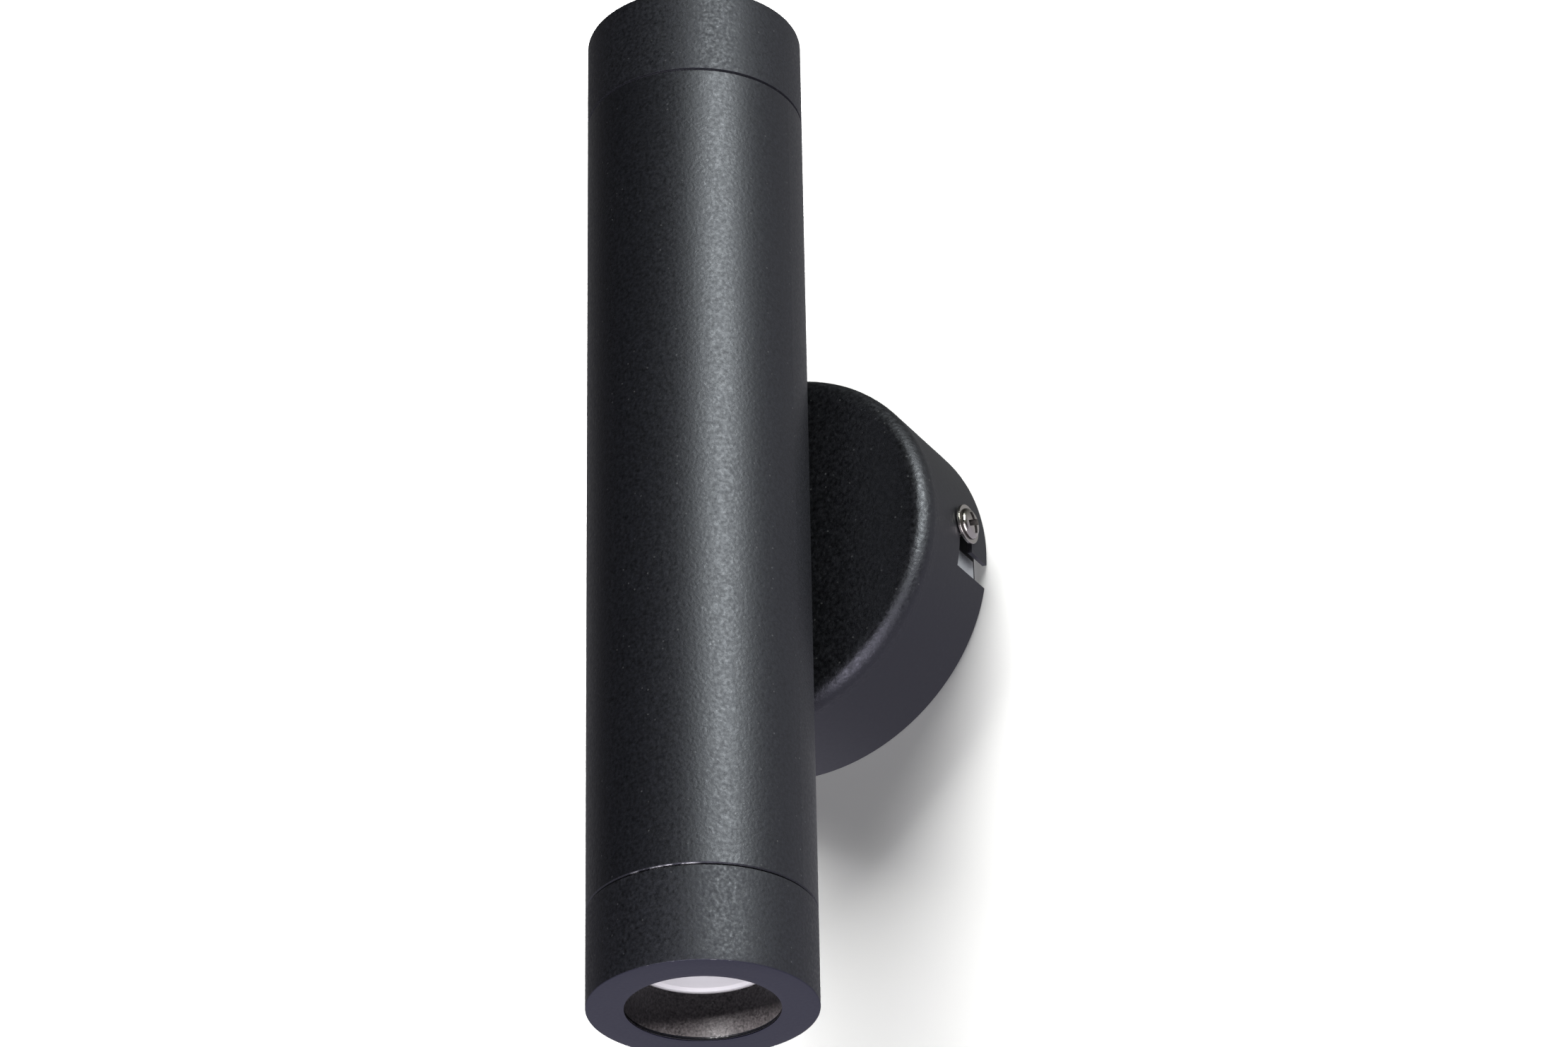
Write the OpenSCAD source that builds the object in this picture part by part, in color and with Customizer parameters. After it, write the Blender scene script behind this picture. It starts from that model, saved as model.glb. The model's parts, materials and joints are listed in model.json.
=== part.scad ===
// Up-and-down wall lamp for two twist-lock reflector lamps.
// A vertical tube with a screw-on ring at each end is carried by a round canopy.
// The canopy hooks over a wall bracket and is held there by two side screws.
// +Z is up and +Y points into the wall; the origin is on the wall, at the centre of the bracket.

/* [Tube] */
// Wall thickness of the tube
tube_wall = 1.5; // [1:0.1:1.8]
// Overall length, from one end face to the other
lamp_l = 276; // [250:1:400]
// Bevel on both edges of each seam between the tube and a ring
seam_bevel = 0.3; // [0.1:0.05:0.6]

/* [End rings] */
// Height of the visible part of a ring
ring_h = 25; // [18:0.5:40]
// Height of the threaded spigot that screws into the tube
spigot_h = 8; // [5:0.5:12]
// Wall thickness of the threaded spigot
spigot_wall = 1.15; // [0.8:0.05:1.6]
// Diameter of the light mouth
mouth_d = 37.6; // [30:0.2:42]
// Thickness of the ring's end wall
lip_t = 2; // [1.4:0.1:3]
// Thickness of the thin edge that is left round the mouth
lip_edge_t = 0.6; // [0.4:0.1:1]
// Width of the ledge that the insert's nose sits behind
lip_ledge = 1.8; // [1.2:0.1:3]
// Bevel on the outer edge of the end face
end_bevel = 0.25; // [0.1:0.05:1]
// Gap left between the ring and the tube when the ring is tight
seam_gap = 0.1; // [0.05:0.05:0.3]
// Radial running clearance of the ring's thread
thread_fit = 0.05; // [0.02:0.01:0.1]
// Depth of the thread's runout groove
runout_t = 0.4; // [0.2:0.1:0.6]
// Height of the thread's runout groove
runout_h = 1.2; // [0.8:0.1:2]

/* [Anti-glare insert] */
// Bore of the insert at its front
insert_mouth_d = 38; // [30.5:0.1:42.5]
// Bore of the insert at its throat, in front of the lens
throat_d = 35.2; // [26:0.2:38]
// Depth from the insert's front to its throat
insert_depth = 11.1; // [8:0.1:16]
// Wall thickness of the insert
insert_wall = 1.2; // [0.8:0.1:1.6]
// Axial gap between the insert and the ring
insert_gap = 0.2; // [0.1:0.05:0.5]
// Radial clearance between the insert and the ring
insert_fit = 0.2; // [0.1:0.05:0.4]

/* [Twist-lock lamp] */
// Diameter of the lamp at its rim
lamp_d = 50; // [46:0.5:56]
// Length of the lamp from its front to the shoulder that carries the pins
lamp_body_l = 45.8; // [42:0.1:52]
// Height of the lamp's rim
lamp_rim_h = 3.4; // [2:0.1:5]
// Radial clearance between the lamp and the ring
lamp_fit = 0.3; // [0.2:0.05:0.6]
// Axial gap between the insert and the lamp
lamp_gap = 0.3; // [0.2:0.05:0.6]
// Width of the rim round the lens
lens_rim_w = 2; // [1:0.1:3]
// Thickness of the lens
lens_t = 2.6; // [2:0.1:4]
// Diameter of the lens's dished face
dish_d = 33.8; // [28:0.2:36]
// Diameter of the sunken centre of the lens
dish_centre_d = 20; // [12:0.5:24]
// Diameter of the lamp's neck
neck_d = 29; // [26:0.5:32]
// Length of the plastic cap at the lamp's foot
cap_l = 12; // [8:0.5:16]
// Diameter of the cap's shoulder
cap_d = 24.4; // [22:0.2:26]
// Distance between the two pins
pin_pitch = 10; // [9.6:0.1:10.4]
// Diameter of a pin's neck
pin_neck_d = 3.2; // [2.8:0.1:3.4]
// Diameter of a pin's head
pin_head_d = 5; // [4.6:0.1:5.2]
// Length of a pin's head
pin_head_l = 3.5; // [2.5:0.1:4]
// Turn between the entry holes and the locked place
lock_turn = 25; // [18:1:30]

/* [Lampholder] */
// Diameter of the ceramic lampholder
holder_d = 27; // [26:0.5:32]
// Height of the lampholder
holder_h = 16; // [14:0.5:20]
// Thickness of its keyhole face
holder_face_t = 3; // [2:0.1:4]
// Gap between the lamp's shoulder and the lampholder
holder_gap = 0.3; // [0.2:0.05:0.6]
// Play of a pin's neck in its slot, on each side
neck_play = 0.3; // [0.15:0.05:0.5]
// Play round a pin's head in its entry hole and chamber
head_play = 0.4; // [0.2:0.05:0.6]
// Height of the chamber behind the keyhole face
chamber_h = 6; // [5:0.1:8]
// Thickness of a contact's base plate
contact_t = 1; // [0.6:0.1:1.2]
// Gap between a contact and the pin that it serves
contact_gap = 0.2; // [0.1:0.05:0.4]
// Diameter of a contact's wire tail
tail_d = 2.8; // [2.4:0.1:3.2]
// Length of a contact's wire tail
tail_l = 4.7; // [3:0.1:6]
// Distance between the two screws of a lampholder
holder_screw_pitch = 19; // [18:0.5:20]
// Depth of the counterbore for a screw head
counterbore_h = 2.4; // [2:0.1:3]

/* [Lampholder strip] */
// Width of the strip
strip_w = 20; // [18:0.5:24]
// Thickness of the strip
strip_t = 1.5; // [1:0.1:2]
// Distance that the strip's feet reach past the tube's axis
foot_reach = 14; // [13:0.5:16]
// Diameter of the wire hole in a foot
foot_hole_d = 13; // [12:0.5:14]
// Clearance between the strip's edges and the tube's bore
strip_seat = 0.05; // [0.02:0.01:0.2]
// Inside radius of the bends in sheet metal
bend_r = 1; // [0.5:0.1:2]

/* [Canopy] */
// Diameter of the canopy
canopy_d = 100; // [94:1:130]
// Depth of the canopy, from the wall to its front
canopy_depth = 32; // [31:0.5:45]
// Thickness of the canopy's sheet
canopy_wall = 1.2; // [0.8:0.1:1.6]
// Outer radius of the canopy's front edge
canopy_edge_r = 4.5; // [2.5:0.1:8]
// Width of the hook slots in the rim
slot_w = 6.5; // [5.6:0.1:8]
// Turn from the slot's entry to the side screw
hook_turn = 11.1; // [9.5:0.1:16]

/* [Wall bracket] */
// Width of the bracket
bracket_w = 20; // [18:0.5:26]
// Thickness of the bracket
bracket_t = 1.5; // [1.2:0.1:2.5]
// Depth of the bracket's ears, from the wall
ear_depth = 17.5; // [16:0.5:24]
// Radius of the corners of the ears
ear_corner_r = 4; // [1:0.5:6]
// Gap between the corners of an ear and the canopy
ear_gap = 0.45; // [0.35:0.05:1]
// Distance between the two wall slots
wall_pitch = 60; // [50:1:64]
// Length of a wall slot from end to end
wall_slot_l = 12; // [8:0.5:16]
// Width of a wall slot
wall_slot_w = 4.6; // [4.2:0.1:5.5]
// Diameter of the cable hole
cable_hole_d = 12; // [8:0.5:14]
// Height of the drawn collar behind the tapped hole of an ear
collar_h = 2; // [1:0.1:3]
// Wall thickness of that collar
collar_wall = 1.2; // [0.8:0.1:2]

/* [Side screws] */
// Thread diameter of a side screw
side_screw_d = 4.9; // [4:0.1:4.9]
// Length of a side screw under its head
side_screw_l = 9; // [7:0.5:12]
// Distance of a side screw from the wall
side_screw_y = 11.25; // [10:0.25:12]
// Offset of a side screw from the bracket's centre line
side_screw_z = 3; // [0:0.5:4]
// Diameter of the washer face under the head
flange_d = 10.4; // [9:0.1:12]
// Thickness of the washer face
flange_t = 0.8; // [0.6:0.1:1.6]
// Diameter of the pan head
pan_d = 8.2; // [7:0.1:8.8]
// Height of the pan head above the washer face
pan_h = 1.7; // [1.4:0.1:3]
// Gap between the head and the rim of the canopy
head_gap = 0.25; // [0.2:0.05:0.6]
// Radial clearance of a screw in its tapped hole
tap_fit = 0.05; // [0.02:0.01:0.1]

/* [Nipple and nuts] */
// Outer diameter of the hollow nipple
nipple_d = 10; // [9:0.5:12]
// Bore of the nipple
nipple_bore = 8; // [7.4:0.1:8]
// Length of thread that stands proud of each nut
nipple_proud = 1; // [0.5:0.1:2]
// Width of the nipple's nuts across their flats
nut_af = 14; // [13:0.5:17]
// Thickness of the nipple's nuts
nut_t = 3; // [2.5:0.1:4]
// Diameter of the lock washer
washer_d = 15; // [13.5:0.5:18]
// Thickness of the lock washer
washer_t = 0.8; // [0.5:0.1:1.5]
// Radial clearance of the nipple in the sheets that it clamps
nipple_fit = 0.1; // [0.05:0.05:0.4]
// Length of the plastic bush in each end of the nipple
bush_l = 4; // [2:0.5:6]
// Bore of the bush
bush_bore = 6.4; // [6:0.1:6.6]
// Thickness of the bush's flange
bush_flange_t = 0.8; // [0.5:0.1:1.2]
// Radial clearance of the bush in the nipple
bush_fit = 0.05; // [0.02:0.01:0.1]

/* [Terminals] */
// Width of the plate that carries the terminals
plate_w = 30; // [29:0.5:36]
// Thickness of the plate
plate_t = 1.2; // [0.8:0.1:1.6]
// Distance from the nipple down to the plate's lower edge
plate_down = 36; // [35:0.5:38]
// Distance from the nipple up to the plate's upper edge
plate_up = 22; // [21:0.5:28]
// Corner radius of the plate
plate_corner_r = 3; // [1:0.5:5]
// Pitch of the terminal block's poles
pole_pitch = 9.3; // [9:0.1:10]
// Length of the block along its wires
block_l = 16; // [14.5:0.5:17]
// Height of the block over the plate
block_h = 13; // [12:0.5:14]
// Distance from the nipple down to the block's centre
block_down = 26; // [25:0.5:27]
// Outer diameter of a brass barrel
barrel_d = 5.2; // [5:0.1:5.6]
// Bore of a brass barrel
barrel_bore = 4.2; // [4:0.1:4.4]
// Length of a barrel
barrel_l = 13; // [11:0.5:14]
// Height of a barrel's axis over the plate
barrel_rise = 5.5; // [5:0.1:6]
// Diameter of a clamp screw
clamp_d = 3; // [2.5:0.1:3.2]
// Length of a clamp screw
clamp_l = 5; // [4:0.1:6]
// Distance from the nipple up to the earth screw
earth_up = 16; // [15.5:0.5:17]
// Diameter of the earth screw's thread
earth_screw_d = 3.9; // [3:0.1:4.2]
// Diameter of the earth screw's head
earth_head_d = 8; // [6.5:0.1:8.5]
// Height of the earth screw's head
earth_head_h = 2.4; // [1.8:0.1:3]
// Thickness of the ring tag
tag_t = 0.8; // [0.5:0.1:1.2]
// Outer diameter of the tag's crimp
crimp_d = 2.6; // [2.4:0.1:3]
// Length of the tag's crimp
crimp_l = 6; // [4:0.5:8]
// Distance between the ring of the tag and its crimp
crimp_neck = 1; // [0.5:0.1:2]

/* [Small screws] */
// Thread diameter of the small screws
m3_d = 2.9; // [2.5:0.1:3]
// Head diameter of the small screws
m3_head_d = 5.5; // [5:0.1:5.8]
// Head height of the small screws
m3_head_h = 1.8; // [1.4:0.1:2]
// Width of the small nuts across their flats
m3_nut_af = 5.5; // [5:0.1:6]
// Thickness of the small nuts
m3_nut_t = 2.4; // [1.8:0.1:3]
// Radial clearance of a small screw in a drilled hole
drill_fit = 0.25; // [0.15:0.05:0.4]
// Length of thread that stands proud of a small nut
m3_proud = 0.6; // [0.3:0.1:1]

/* [Wires] */
// Diameter of the insulated wires
wire_d = 1.8; // [1.6:0.05:1.85]

/* [Hidden] */
$fn = 96;

black_paint = [0.11, 0.11, 0.125];
insert_black = [0.06, 0.06, 0.065];
zinc = [0.72, 0.73, 0.75];
nickel = [0.8, 0.8, 0.82];
brass = [0.8, 0.65, 0.3];
ceramic = [0.93, 0.92, 0.88];
white_plastic = [0.95, 0.95, 0.94];
lens_white = [0.97, 0.96, 0.97];
live_brown = [0.42, 0.24, 0.13];
neutral_blue = [0.12, 0.3, 0.65];
earth_green = [0.25, 0.62, 0.2];

// Extra length of a cutting tool, so that it passes right through
cut = 1;
// Bevel on small turned edges
small_bevel = 0.4;
// Cross recess: its span and depth as shares of the head's width and height
recess_span = 0.6;
recess_depth = 0.7;
// Shoulder radius of a pan head as a share of its height
pan_round = 0.7;
// Tip clearance of a screw that ends in a blind place
tip_clear = 0.1;
// Extra room of the pin chamber over the entry holes
chamber_relief = 0.12;

// Tube and rings, from the lamp outwards
ring_bore_r = lamp_d / 2 + lamp_fit;
spigot_r = ring_bore_r + spigot_wall;
tube_ir = spigot_r + thread_fit;
tube_r = tube_ir + tube_wall;

// Tube, seen in plan: it lies against the front of the canopy
axis_y = -canopy_depth - tube_r;
half_l = lamp_l / 2;
tube_half_l = half_l - ring_h - seam_gap;

// Light mouth and insert radii
mouth_r = mouth_d / 2;
ledge_r = mouth_r + lip_ledge;
insert_r = ring_bore_r - insert_fit;
throat_r = throat_d / 2;
lens_r = lamp_d / 2 - lens_rim_w;

// Depths from an end face towards the middle of the lamp
insert_front = lip_edge_t + insert_gap;
insert_flange = lip_t + insert_gap;
throat_depth = insert_front + insert_depth;
lens_depth = throat_depth + lamp_gap;
shoulder_depth = lens_depth + lamp_body_l;
holder_depth = shoulder_depth + holder_gap;
chamber_depth = holder_depth + holder_face_t;
chamber_floor = chamber_depth + chamber_h;
foot_depth = holder_depth + holder_h;
pin_neck_l = holder_gap + holder_face_t + contact_gap;
pin_l = pin_neck_l + pin_head_l;

// Strip: its edges rest on the tube's bore, so its face is a chord of that circle
strip_face = sqrt(pow(tube_ir, 2) - pow(strip_w / 2, 2)) - strip_seat;
strip_half_l = half_l - foot_depth;
strip_y = axis_y + strip_face - strip_t;

// Canopy and the stack of pieces behind its front
canopy_r = canopy_d / 2;
canopy_ir = canopy_r - canopy_wall;
plate_y = -canopy_depth + canopy_wall;
washer_y = plate_y + plate_t;
nut_y = washer_y + washer_t;
nipple_back = nut_y + nut_t + nipple_proud;
nipple_front = strip_y - nut_t - nipple_proud;
nipple_r = nipple_d / 2;
nipple_hole_r = nipple_r + nipple_fit;

// Hook slots: angles round the canopy, from +X towards +Z
screw_angle = asin(side_screw_z / canopy_r);
entry_angle = screw_angle - hook_turn;

// Bracket ears reach as far out as the canopy's bore lets their corners go
ear_x = sqrt(pow(canopy_ir - ear_gap, 2) - pow(bracket_w / 2, 2));

// Terminal block and barrels
block_w = 3 * pole_pitch;
barrel_y = washer_y + barrel_rise;
block_back = washer_y + block_h;

// Ends of the wires: contact tails, barrels of the block and crimp of the tag
tail_z = -half_l + chamber_floor + tail_l;
block_top = -block_down + block_l / 2;
pair_in = pole_pitch - (wire_d + 0.1) / 2;
pair_out = pole_pitch + (wire_d + 0.1) / 2;
crimp_x = -earth_head_d / 2 - crimp_neck;
crimp_y = washer_y + crimp_d / 2;
crimp_end = crimp_x - crimp_l;

// Offset of each wire from the axis of the nipple
bundle = 1.4;

// Route of a wire from a lower contact to the nipple, and on to the terminal block
tube_run = [
    [pin_pitch / 2, axis_y, tail_z], [pin_pitch / 2, axis_y, tail_z + 6],
    [4.8, axis_y + 2, tail_z + 14], [4.2, axis_y + 6, 0.58 * tail_z],
    [3, nipple_front - 9, 0.36 * tail_z], [2, nipple_front - 6.6, 0.18 * tail_z],
    [bundle + 0.1, nipple_front - 5.2, -6], [bundle, nipple_front - 4, -3.2],
    [bundle, nipple_front - 2, -1.7], [bundle, nipple_front, -bundle],
    [bundle, nipple_back + 1.2, -bundle]
];
lower_run_end = [
    [2.4, nipple_back + 3, -3], [4.8, nipple_back + 4.4, -7],
    [pair_in - 1.2, barrel_y + 3, block_top + 6.5], [pair_in, barrel_y + 1, block_top + 2.5],
    [pair_in, barrel_y, block_top - 1], [pair_in, barrel_y, block_top - 5]
];
upper_run_end = [
    [2.4, nipple_back + 3.8, 0.8], [4.8, nipple_back + 6.8, -1], [7.8, nipple_back + 7.6, -6],
    [pair_out - 0.6, barrel_y + 5.5, block_top + 7], [pair_out, barrel_y + 2.3, block_top + 3],
    [pair_out, barrel_y, block_top - 1], [pair_out, barrel_y, block_top - 5]
];
earth_run = [
    [0, barrel_y, block_top - 5], [0, barrel_y, block_top - 1], [0, barrel_y + 2, block_top + 3],
    [0, barrel_y + 6.6, block_top + 8], [0, nipple_back + 10.8, -3],
    [-1.5, nipple_back + 11.3, earth_up - 12], [-5, nipple_back + 10.8, earth_up - 5],
    [crimp_end + 1.5, crimp_y + 11.3, earth_up], [crimp_end - 2, crimp_y + 6.8, earth_up + 2.5],
    [crimp_end - 3.8, crimp_y + 2.3, earth_up + 1.5], [crimp_end - 2.2, crimp_y, earth_up],
    [crimp_end, crimp_y, earth_up]
];

lower_wire_run = concat(tube_run, lower_run_end);
upper_wire_run = concat([for (p = tube_run) [p.x, p.y, -p.z]], upper_run_end);

// Placement: children are drawn with z as the depth from an end face towards the middle
module lower_end() {
    translate([0, axis_y, -half_l]) children();
}

module upper_end() {
    translate([0, axis_y, half_l]) rotate([0, 180, 0]) children();
}

module both_ends() {
    lower_end() children();
    upper_end() children();
}

// Both sides of the wall bracket, by a half turn about the centre of the wall fixing
module both_sides() {
    for (turn = [0, 180]) {
        rotate([0, turn, 0]) children();
    }
}

// Cylinder along +Y from the children's origin
module y_cylinder(r, h) {
    rotate([-90, 0, 0]) cylinder(r = r, h = h);
}

// Hexagonal nut along +Y with its bore
module y_nut(across, bore_r, h) {
    rotate([-90, 0, 0]) hex_nut(across, bore_r, h);
}

module hex_nut(across, bore_r, h) {
    difference() {
        cylinder(d = across / cos(30), h = h, $fn = 6);
        translate([0, 0, -cut]) cylinder(r = bore_r, h = h + 2 * cut);
    }
}

// Rectangle with rounded corners, from corner (0, 0) to (size.x, size.y)
module round_rect(size, r) {
    translate([r, 0]) square([size.x - 2 * r, size.y]);
    translate([0, r]) square([size.x, size.y - 2 * r]);
    for (x = [r, size.x - r], y = [r, size.y - r]) {
        translate([x, y]) circle(r = r);
    }
}

// Folded sheet in section: a U of the given outer width and depth, open towards +y
module folded_u(width, depth, t) {
    difference() {
        round_rect([width, 2 * depth], bend_r + t);
        translate([t, t]) round_rect([width - 2 * t, 2 * depth], bend_r);
        translate([-cut, depth]) square([width + 2 * cut, 2 * depth]);
    }
}

// Swept wire
function unit(v) = v / norm(v);
function heading(p, i) =
    i == 0 ? unit(p[1] - p[0]) :
    i == len(p) - 1 ? unit(p[i] - p[i - 1]) :
    unit(unit(p[i + 1] - p[i]) + unit(p[i] - p[i - 1]));
function carried(side, dir) = unit(side - (side * dir) * dir);
function sides(dirs, i, side) =
    i == len(dirs) ? [] :
    concat([carried(side, dirs[i])], sides(dirs, i + 1, carried(side, dirs[i])));

module wire(route, d) {
    facets = 8;
    rings = len(route);
    dirs = [for (i = [0 : rings - 1]) heading(route, i)];
    side = sides(dirs, 0, [1, 0.2, 0.1]);
    points = [
        for (i = [0 : rings - 1], k = [0 : facets - 1])
            let (a = 360 * k / facets)
            route[i] + d / 2 * (cos(a) * side[i] + sin(a) * cross(dirs[i], side[i]))
    ];
    walls = [
        for (i = [0 : rings - 2], k = [0 : facets - 1])
            let (a = i * facets + k, b = i * facets + (k + 1) % facets)
            [a, a + facets, b + facets, b]
    ];
    first = [for (k = [0 : facets - 1]) k];
    last = [for (k = [0 : facets - 1]) rings * facets - 1 - k];
    polyhedron(points = points, faces = concat([first], walls, [last]));
}

// Wall bracket: a folded strip whose ears stand inside the rim of the canopy
module wall_bracket() {
    color(zinc) difference() {
        union() {
            intersection() {
                translate([-ear_x, 0, -bracket_w / 2]) mirror([0, 1, 0])
                    linear_extrude(bracket_w) folded_u(2 * ear_x, ear_depth, bracket_t);
                translate([-canopy_r, 0, 0]) rotate([0, 90, 0]) rotate([0, 0, 90])
                    linear_extrude(canopy_d) ear_outline();
            }
            both_sides() ear_collar();
        }
        both_sides() tapped_ear_hole();
        for (x = [-wall_pitch / 2, wall_pitch / 2]) {
            translate([x, 0, 0]) wall_slot();
        }
        translate([0, -bracket_t - cut, 0]) y_cylinder(cable_hole_d / 2, bracket_t + 2 * cut);
    }
}

// Outline of the bracket from the side: x is the distance towards the wall and y the height
module ear_outline() {
    translate([-ear_depth, -bracket_w / 2]) difference() {
        round_rect([2 * ear_depth, bracket_w], ear_corner_r);
        translate([ear_depth, -cut]) square([ear_depth + cut, bracket_w + 2 * cut]);
    }
}

module ear_collar() {
    translate([ear_x - bracket_t - collar_h, -side_screw_y, side_screw_z]) rotate([0, 90, 0])
        cylinder(r = side_screw_d / 2 + collar_wall, h = collar_h + bracket_t / 2);
}

module tapped_ear_hole() {
    translate([ear_x - bracket_t - collar_h - cut, -side_screw_y, side_screw_z]) rotate([0, 90, 0])
        cylinder(r = side_screw_d / 2 + tap_fit, h = bracket_t + collar_h + 2 * cut);
}

module wall_slot() {
    straight = wall_slot_l - wall_slot_w;
    for (x = [-straight / 2, straight / 2]) {
        translate([x, -bracket_t - cut, 0]) y_cylinder(wall_slot_w / 2, bracket_t + 2 * cut);
    }
    translate([-straight / 2, -bracket_t - cut, -wall_slot_w / 2])
        cube([straight, bracket_t + 2 * cut, wall_slot_w]);
}

// Side screws: washer-faced pan heads with a cross recess, clamping the rim of the canopy
module side_screws() {
    color(nickel) both_sides()
        translate([canopy_r + head_gap, -side_screw_y, side_screw_z]) rotate([0, 90, 0]) side_screw();
}

module side_screw() {
    translate([0, 0, -side_screw_l]) cylinder(r = side_screw_d / 2, h = side_screw_l);
    cylinder(r = flange_d / 2, h = flange_t);
    difference() {
        translate([0, 0, flange_t]) rotate_extrude() pan_profile();
        translate([0, 0, flange_t + pan_h])
            cross_recess(recess_span * pan_d, recess_depth * pan_h);
    }
}

// Half section of a pan head: a flat top with a round shoulder
module pan_profile() {
    shoulder_r = pan_round * pan_h;
    square([pan_d / 2, pan_h - shoulder_r]);
    square([pan_d / 2 - shoulder_r, pan_h]);
    translate([pan_d / 2 - shoulder_r, pan_h - shoulder_r]) intersection() {
        circle(r = shoulder_r);
        square(shoulder_r);
    }
}

// Cross recess cut downwards from the origin
module cross_recess(span, depth) {
    blade_t = span / 5;
    for (turn = [45, 135]) {
        rotate([0, 0, turn]) translate([-span / 2, -blade_t / 2, -depth])
            cube([span, blade_t, depth + cut]);
    }
}

// Canopy: a drawn cup with a rounded front edge and two hook slots in its rim
module canopy() {
    color(black_paint) difference() {
        rotate([90, 0, 0]) rotate_extrude() canopy_profile();
        translate([0, -canopy_depth - cut, 0]) y_cylinder(nipple_hole_r, canopy_wall + 2 * cut);
        both_sides() hook_slot();
    }
}

// Half section of the cup: x is the radius and y the distance from the wall
module canopy_profile() {
    difference() {
        cup_outline(canopy_r, canopy_depth, canopy_edge_r);
        translate([0, -cut]) cup_outline(canopy_ir, canopy_depth - canopy_wall + cut,
            canopy_edge_r - canopy_wall);
    }
}

module cup_outline(r, h, edge_r) {
    square([r - edge_r, h]);
    square([r, h - edge_r]);
    translate([r - edge_r, h - edge_r]) intersection() {
        circle(r = edge_r);
        square(edge_r);
    }
}

// L-shaped slot: a way in from the back edge and a leg round to the side screw
module hook_slot() {
    leg_front = side_screw_y + slot_w / 2;
    leg_half_l = canopy_r * sin(hook_turn / 2) + slot_w / 2;
    rim_cut(entry_angle, leg_front, -cut, slot_w / 2);
    rim_cut(entry_angle + hook_turn / 2, leg_front, leg_front - slot_w, leg_half_l);
}

// Straight cut through the rim's sheet at a turn, between two distances from the wall
module rim_cut(turn, y_front, y_back, half_w) {
    sheet_in = canopy_ir - 2 * cut;
    rotate([0, -turn, 0]) translate([sheet_in, -y_front, -half_w])
        cube([canopy_r + cut - sheet_in, y_front - y_back, 2 * half_w]);
}

// Hollow nipple with its nuts, lock washer and end bushes
module nipple() {
    color(nickel) translate([0, nipple_front, 0]) difference() {
        y_cylinder(nipple_r, nipple_back - nipple_front);
        translate([0, -cut, 0]) y_cylinder(nipple_bore / 2, nipple_back - nipple_front + 2 * cut);
    }
}

module canopy_nut() {
    color(nickel) translate([0, nut_y, 0]) y_nut(nut_af, nipple_r + tap_fit, nut_t);
}

module tube_nut() {
    color(nickel) translate([0, strip_y - nut_t, 0]) y_nut(nut_af, nipple_r + tap_fit, nut_t);
}

module lock_washer() {
    teeth = 12;
    gap_w = 1.1;
    gap_depth = 1;
    color(zinc) translate([0, washer_y, 0]) difference() {
        y_cylinder(washer_d / 2, washer_t);
        translate([0, -cut, 0]) y_cylinder(nipple_hole_r, washer_t + 2 * cut);
        for (k = [0 : teeth - 1]) {
            rotate([0, 360 * k / teeth, 0]) translate([washer_d / 2 - gap_depth, -cut, -gap_w / 2])
                cube([gap_depth + cut, washer_t + 2 * cut, gap_w]);
        }
    }
}

module wire_bushes() {
    color(white_plastic) {
        translate([0, nipple_back, 0]) bush();
        translate([0, nipple_front, 0]) mirror([0, 1, 0]) bush();
    }
}

// Bush whose flange rests on the nipple's end and whose sleeve lies behind it
module bush() {
    difference() {
        union() {
            y_cylinder(nipple_r - small_bevel, bush_flange_t);
            translate([0, -bush_l, 0]) y_cylinder(nipple_bore / 2 - bush_fit, bush_l + bush_flange_t / 2);
        }
        translate([0, -bush_l - cut, 0]) y_cylinder(bush_bore / 2, bush_l + bush_flange_t + 2 * cut);
    }
}

// Tube with bevelled ends and one hole for the nipple
module tube_body() {
    color(black_paint) translate([0, axis_y, 0]) difference() {
        rotate_extrude() polygon([
            [tube_ir, -tube_half_l], [tube_r - seam_bevel, -tube_half_l],
            [tube_r, -tube_half_l + seam_bevel], [tube_r, tube_half_l - seam_bevel],
            [tube_r - seam_bevel, tube_half_l], [tube_ir, tube_half_l]
        ]);
        y_cylinder(nipple_hole_r, tube_r + cut);
    }
}

// Strip that carries both lampholders, folded from one piece
module lampholder_strip() {
    color(zinc) translate([0, axis_y, 0]) difference() {
        translate([strip_w / 2, strip_face, -strip_half_l]) rotate([0, -90, 0])
            linear_extrude(strip_w) mirror([0, 1, 0])
            folded_u(2 * strip_half_l, strip_face + foot_reach, strip_t);
        translate([0, strip_face - strip_t - cut, 0]) y_cylinder(nipple_hole_r, strip_t + 2 * cut);
        for (z = [-strip_half_l, strip_half_l - strip_t]) {
            translate([0, 0, z - cut]) {
                cylinder(r = foot_hole_d / 2, h = strip_t + 2 * cut);
                for (y = [-holder_screw_pitch / 2, holder_screw_pitch / 2]) {
                    translate([0, y, 0]) cylinder(r = m3_d / 2 + drill_fit, h = strip_t + 2 * cut);
                }
            }
        }
    }
}

// Space that a pin sweeps between its entry hole and its locked place
module pin_track(r, h) {
    arc_half_w = 0.96 * r;
    for (turn = [0, 180]) {
        rotate([0, 0, turn]) {
            translate([pin_pitch / 2, 0, 0]) cylinder(r = r, h = h);
            rotate([0, 0, -lock_turn]) {
                translate([pin_pitch / 2, 0, 0]) cylinder(r = r, h = h);
                rotate_extrude(angle = lock_turn) translate([pin_pitch / 2 - arc_half_w, 0])
                    square([2 * arc_half_w, h]);
            }
        }
    }
}

module pin_entries(r, h) {
    for (turn = [0, 180]) {
        rotate([0, 0, turn - lock_turn]) translate([pin_pitch / 2, 0, 0]) cylinder(r = r, h = h);
    }
}

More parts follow.
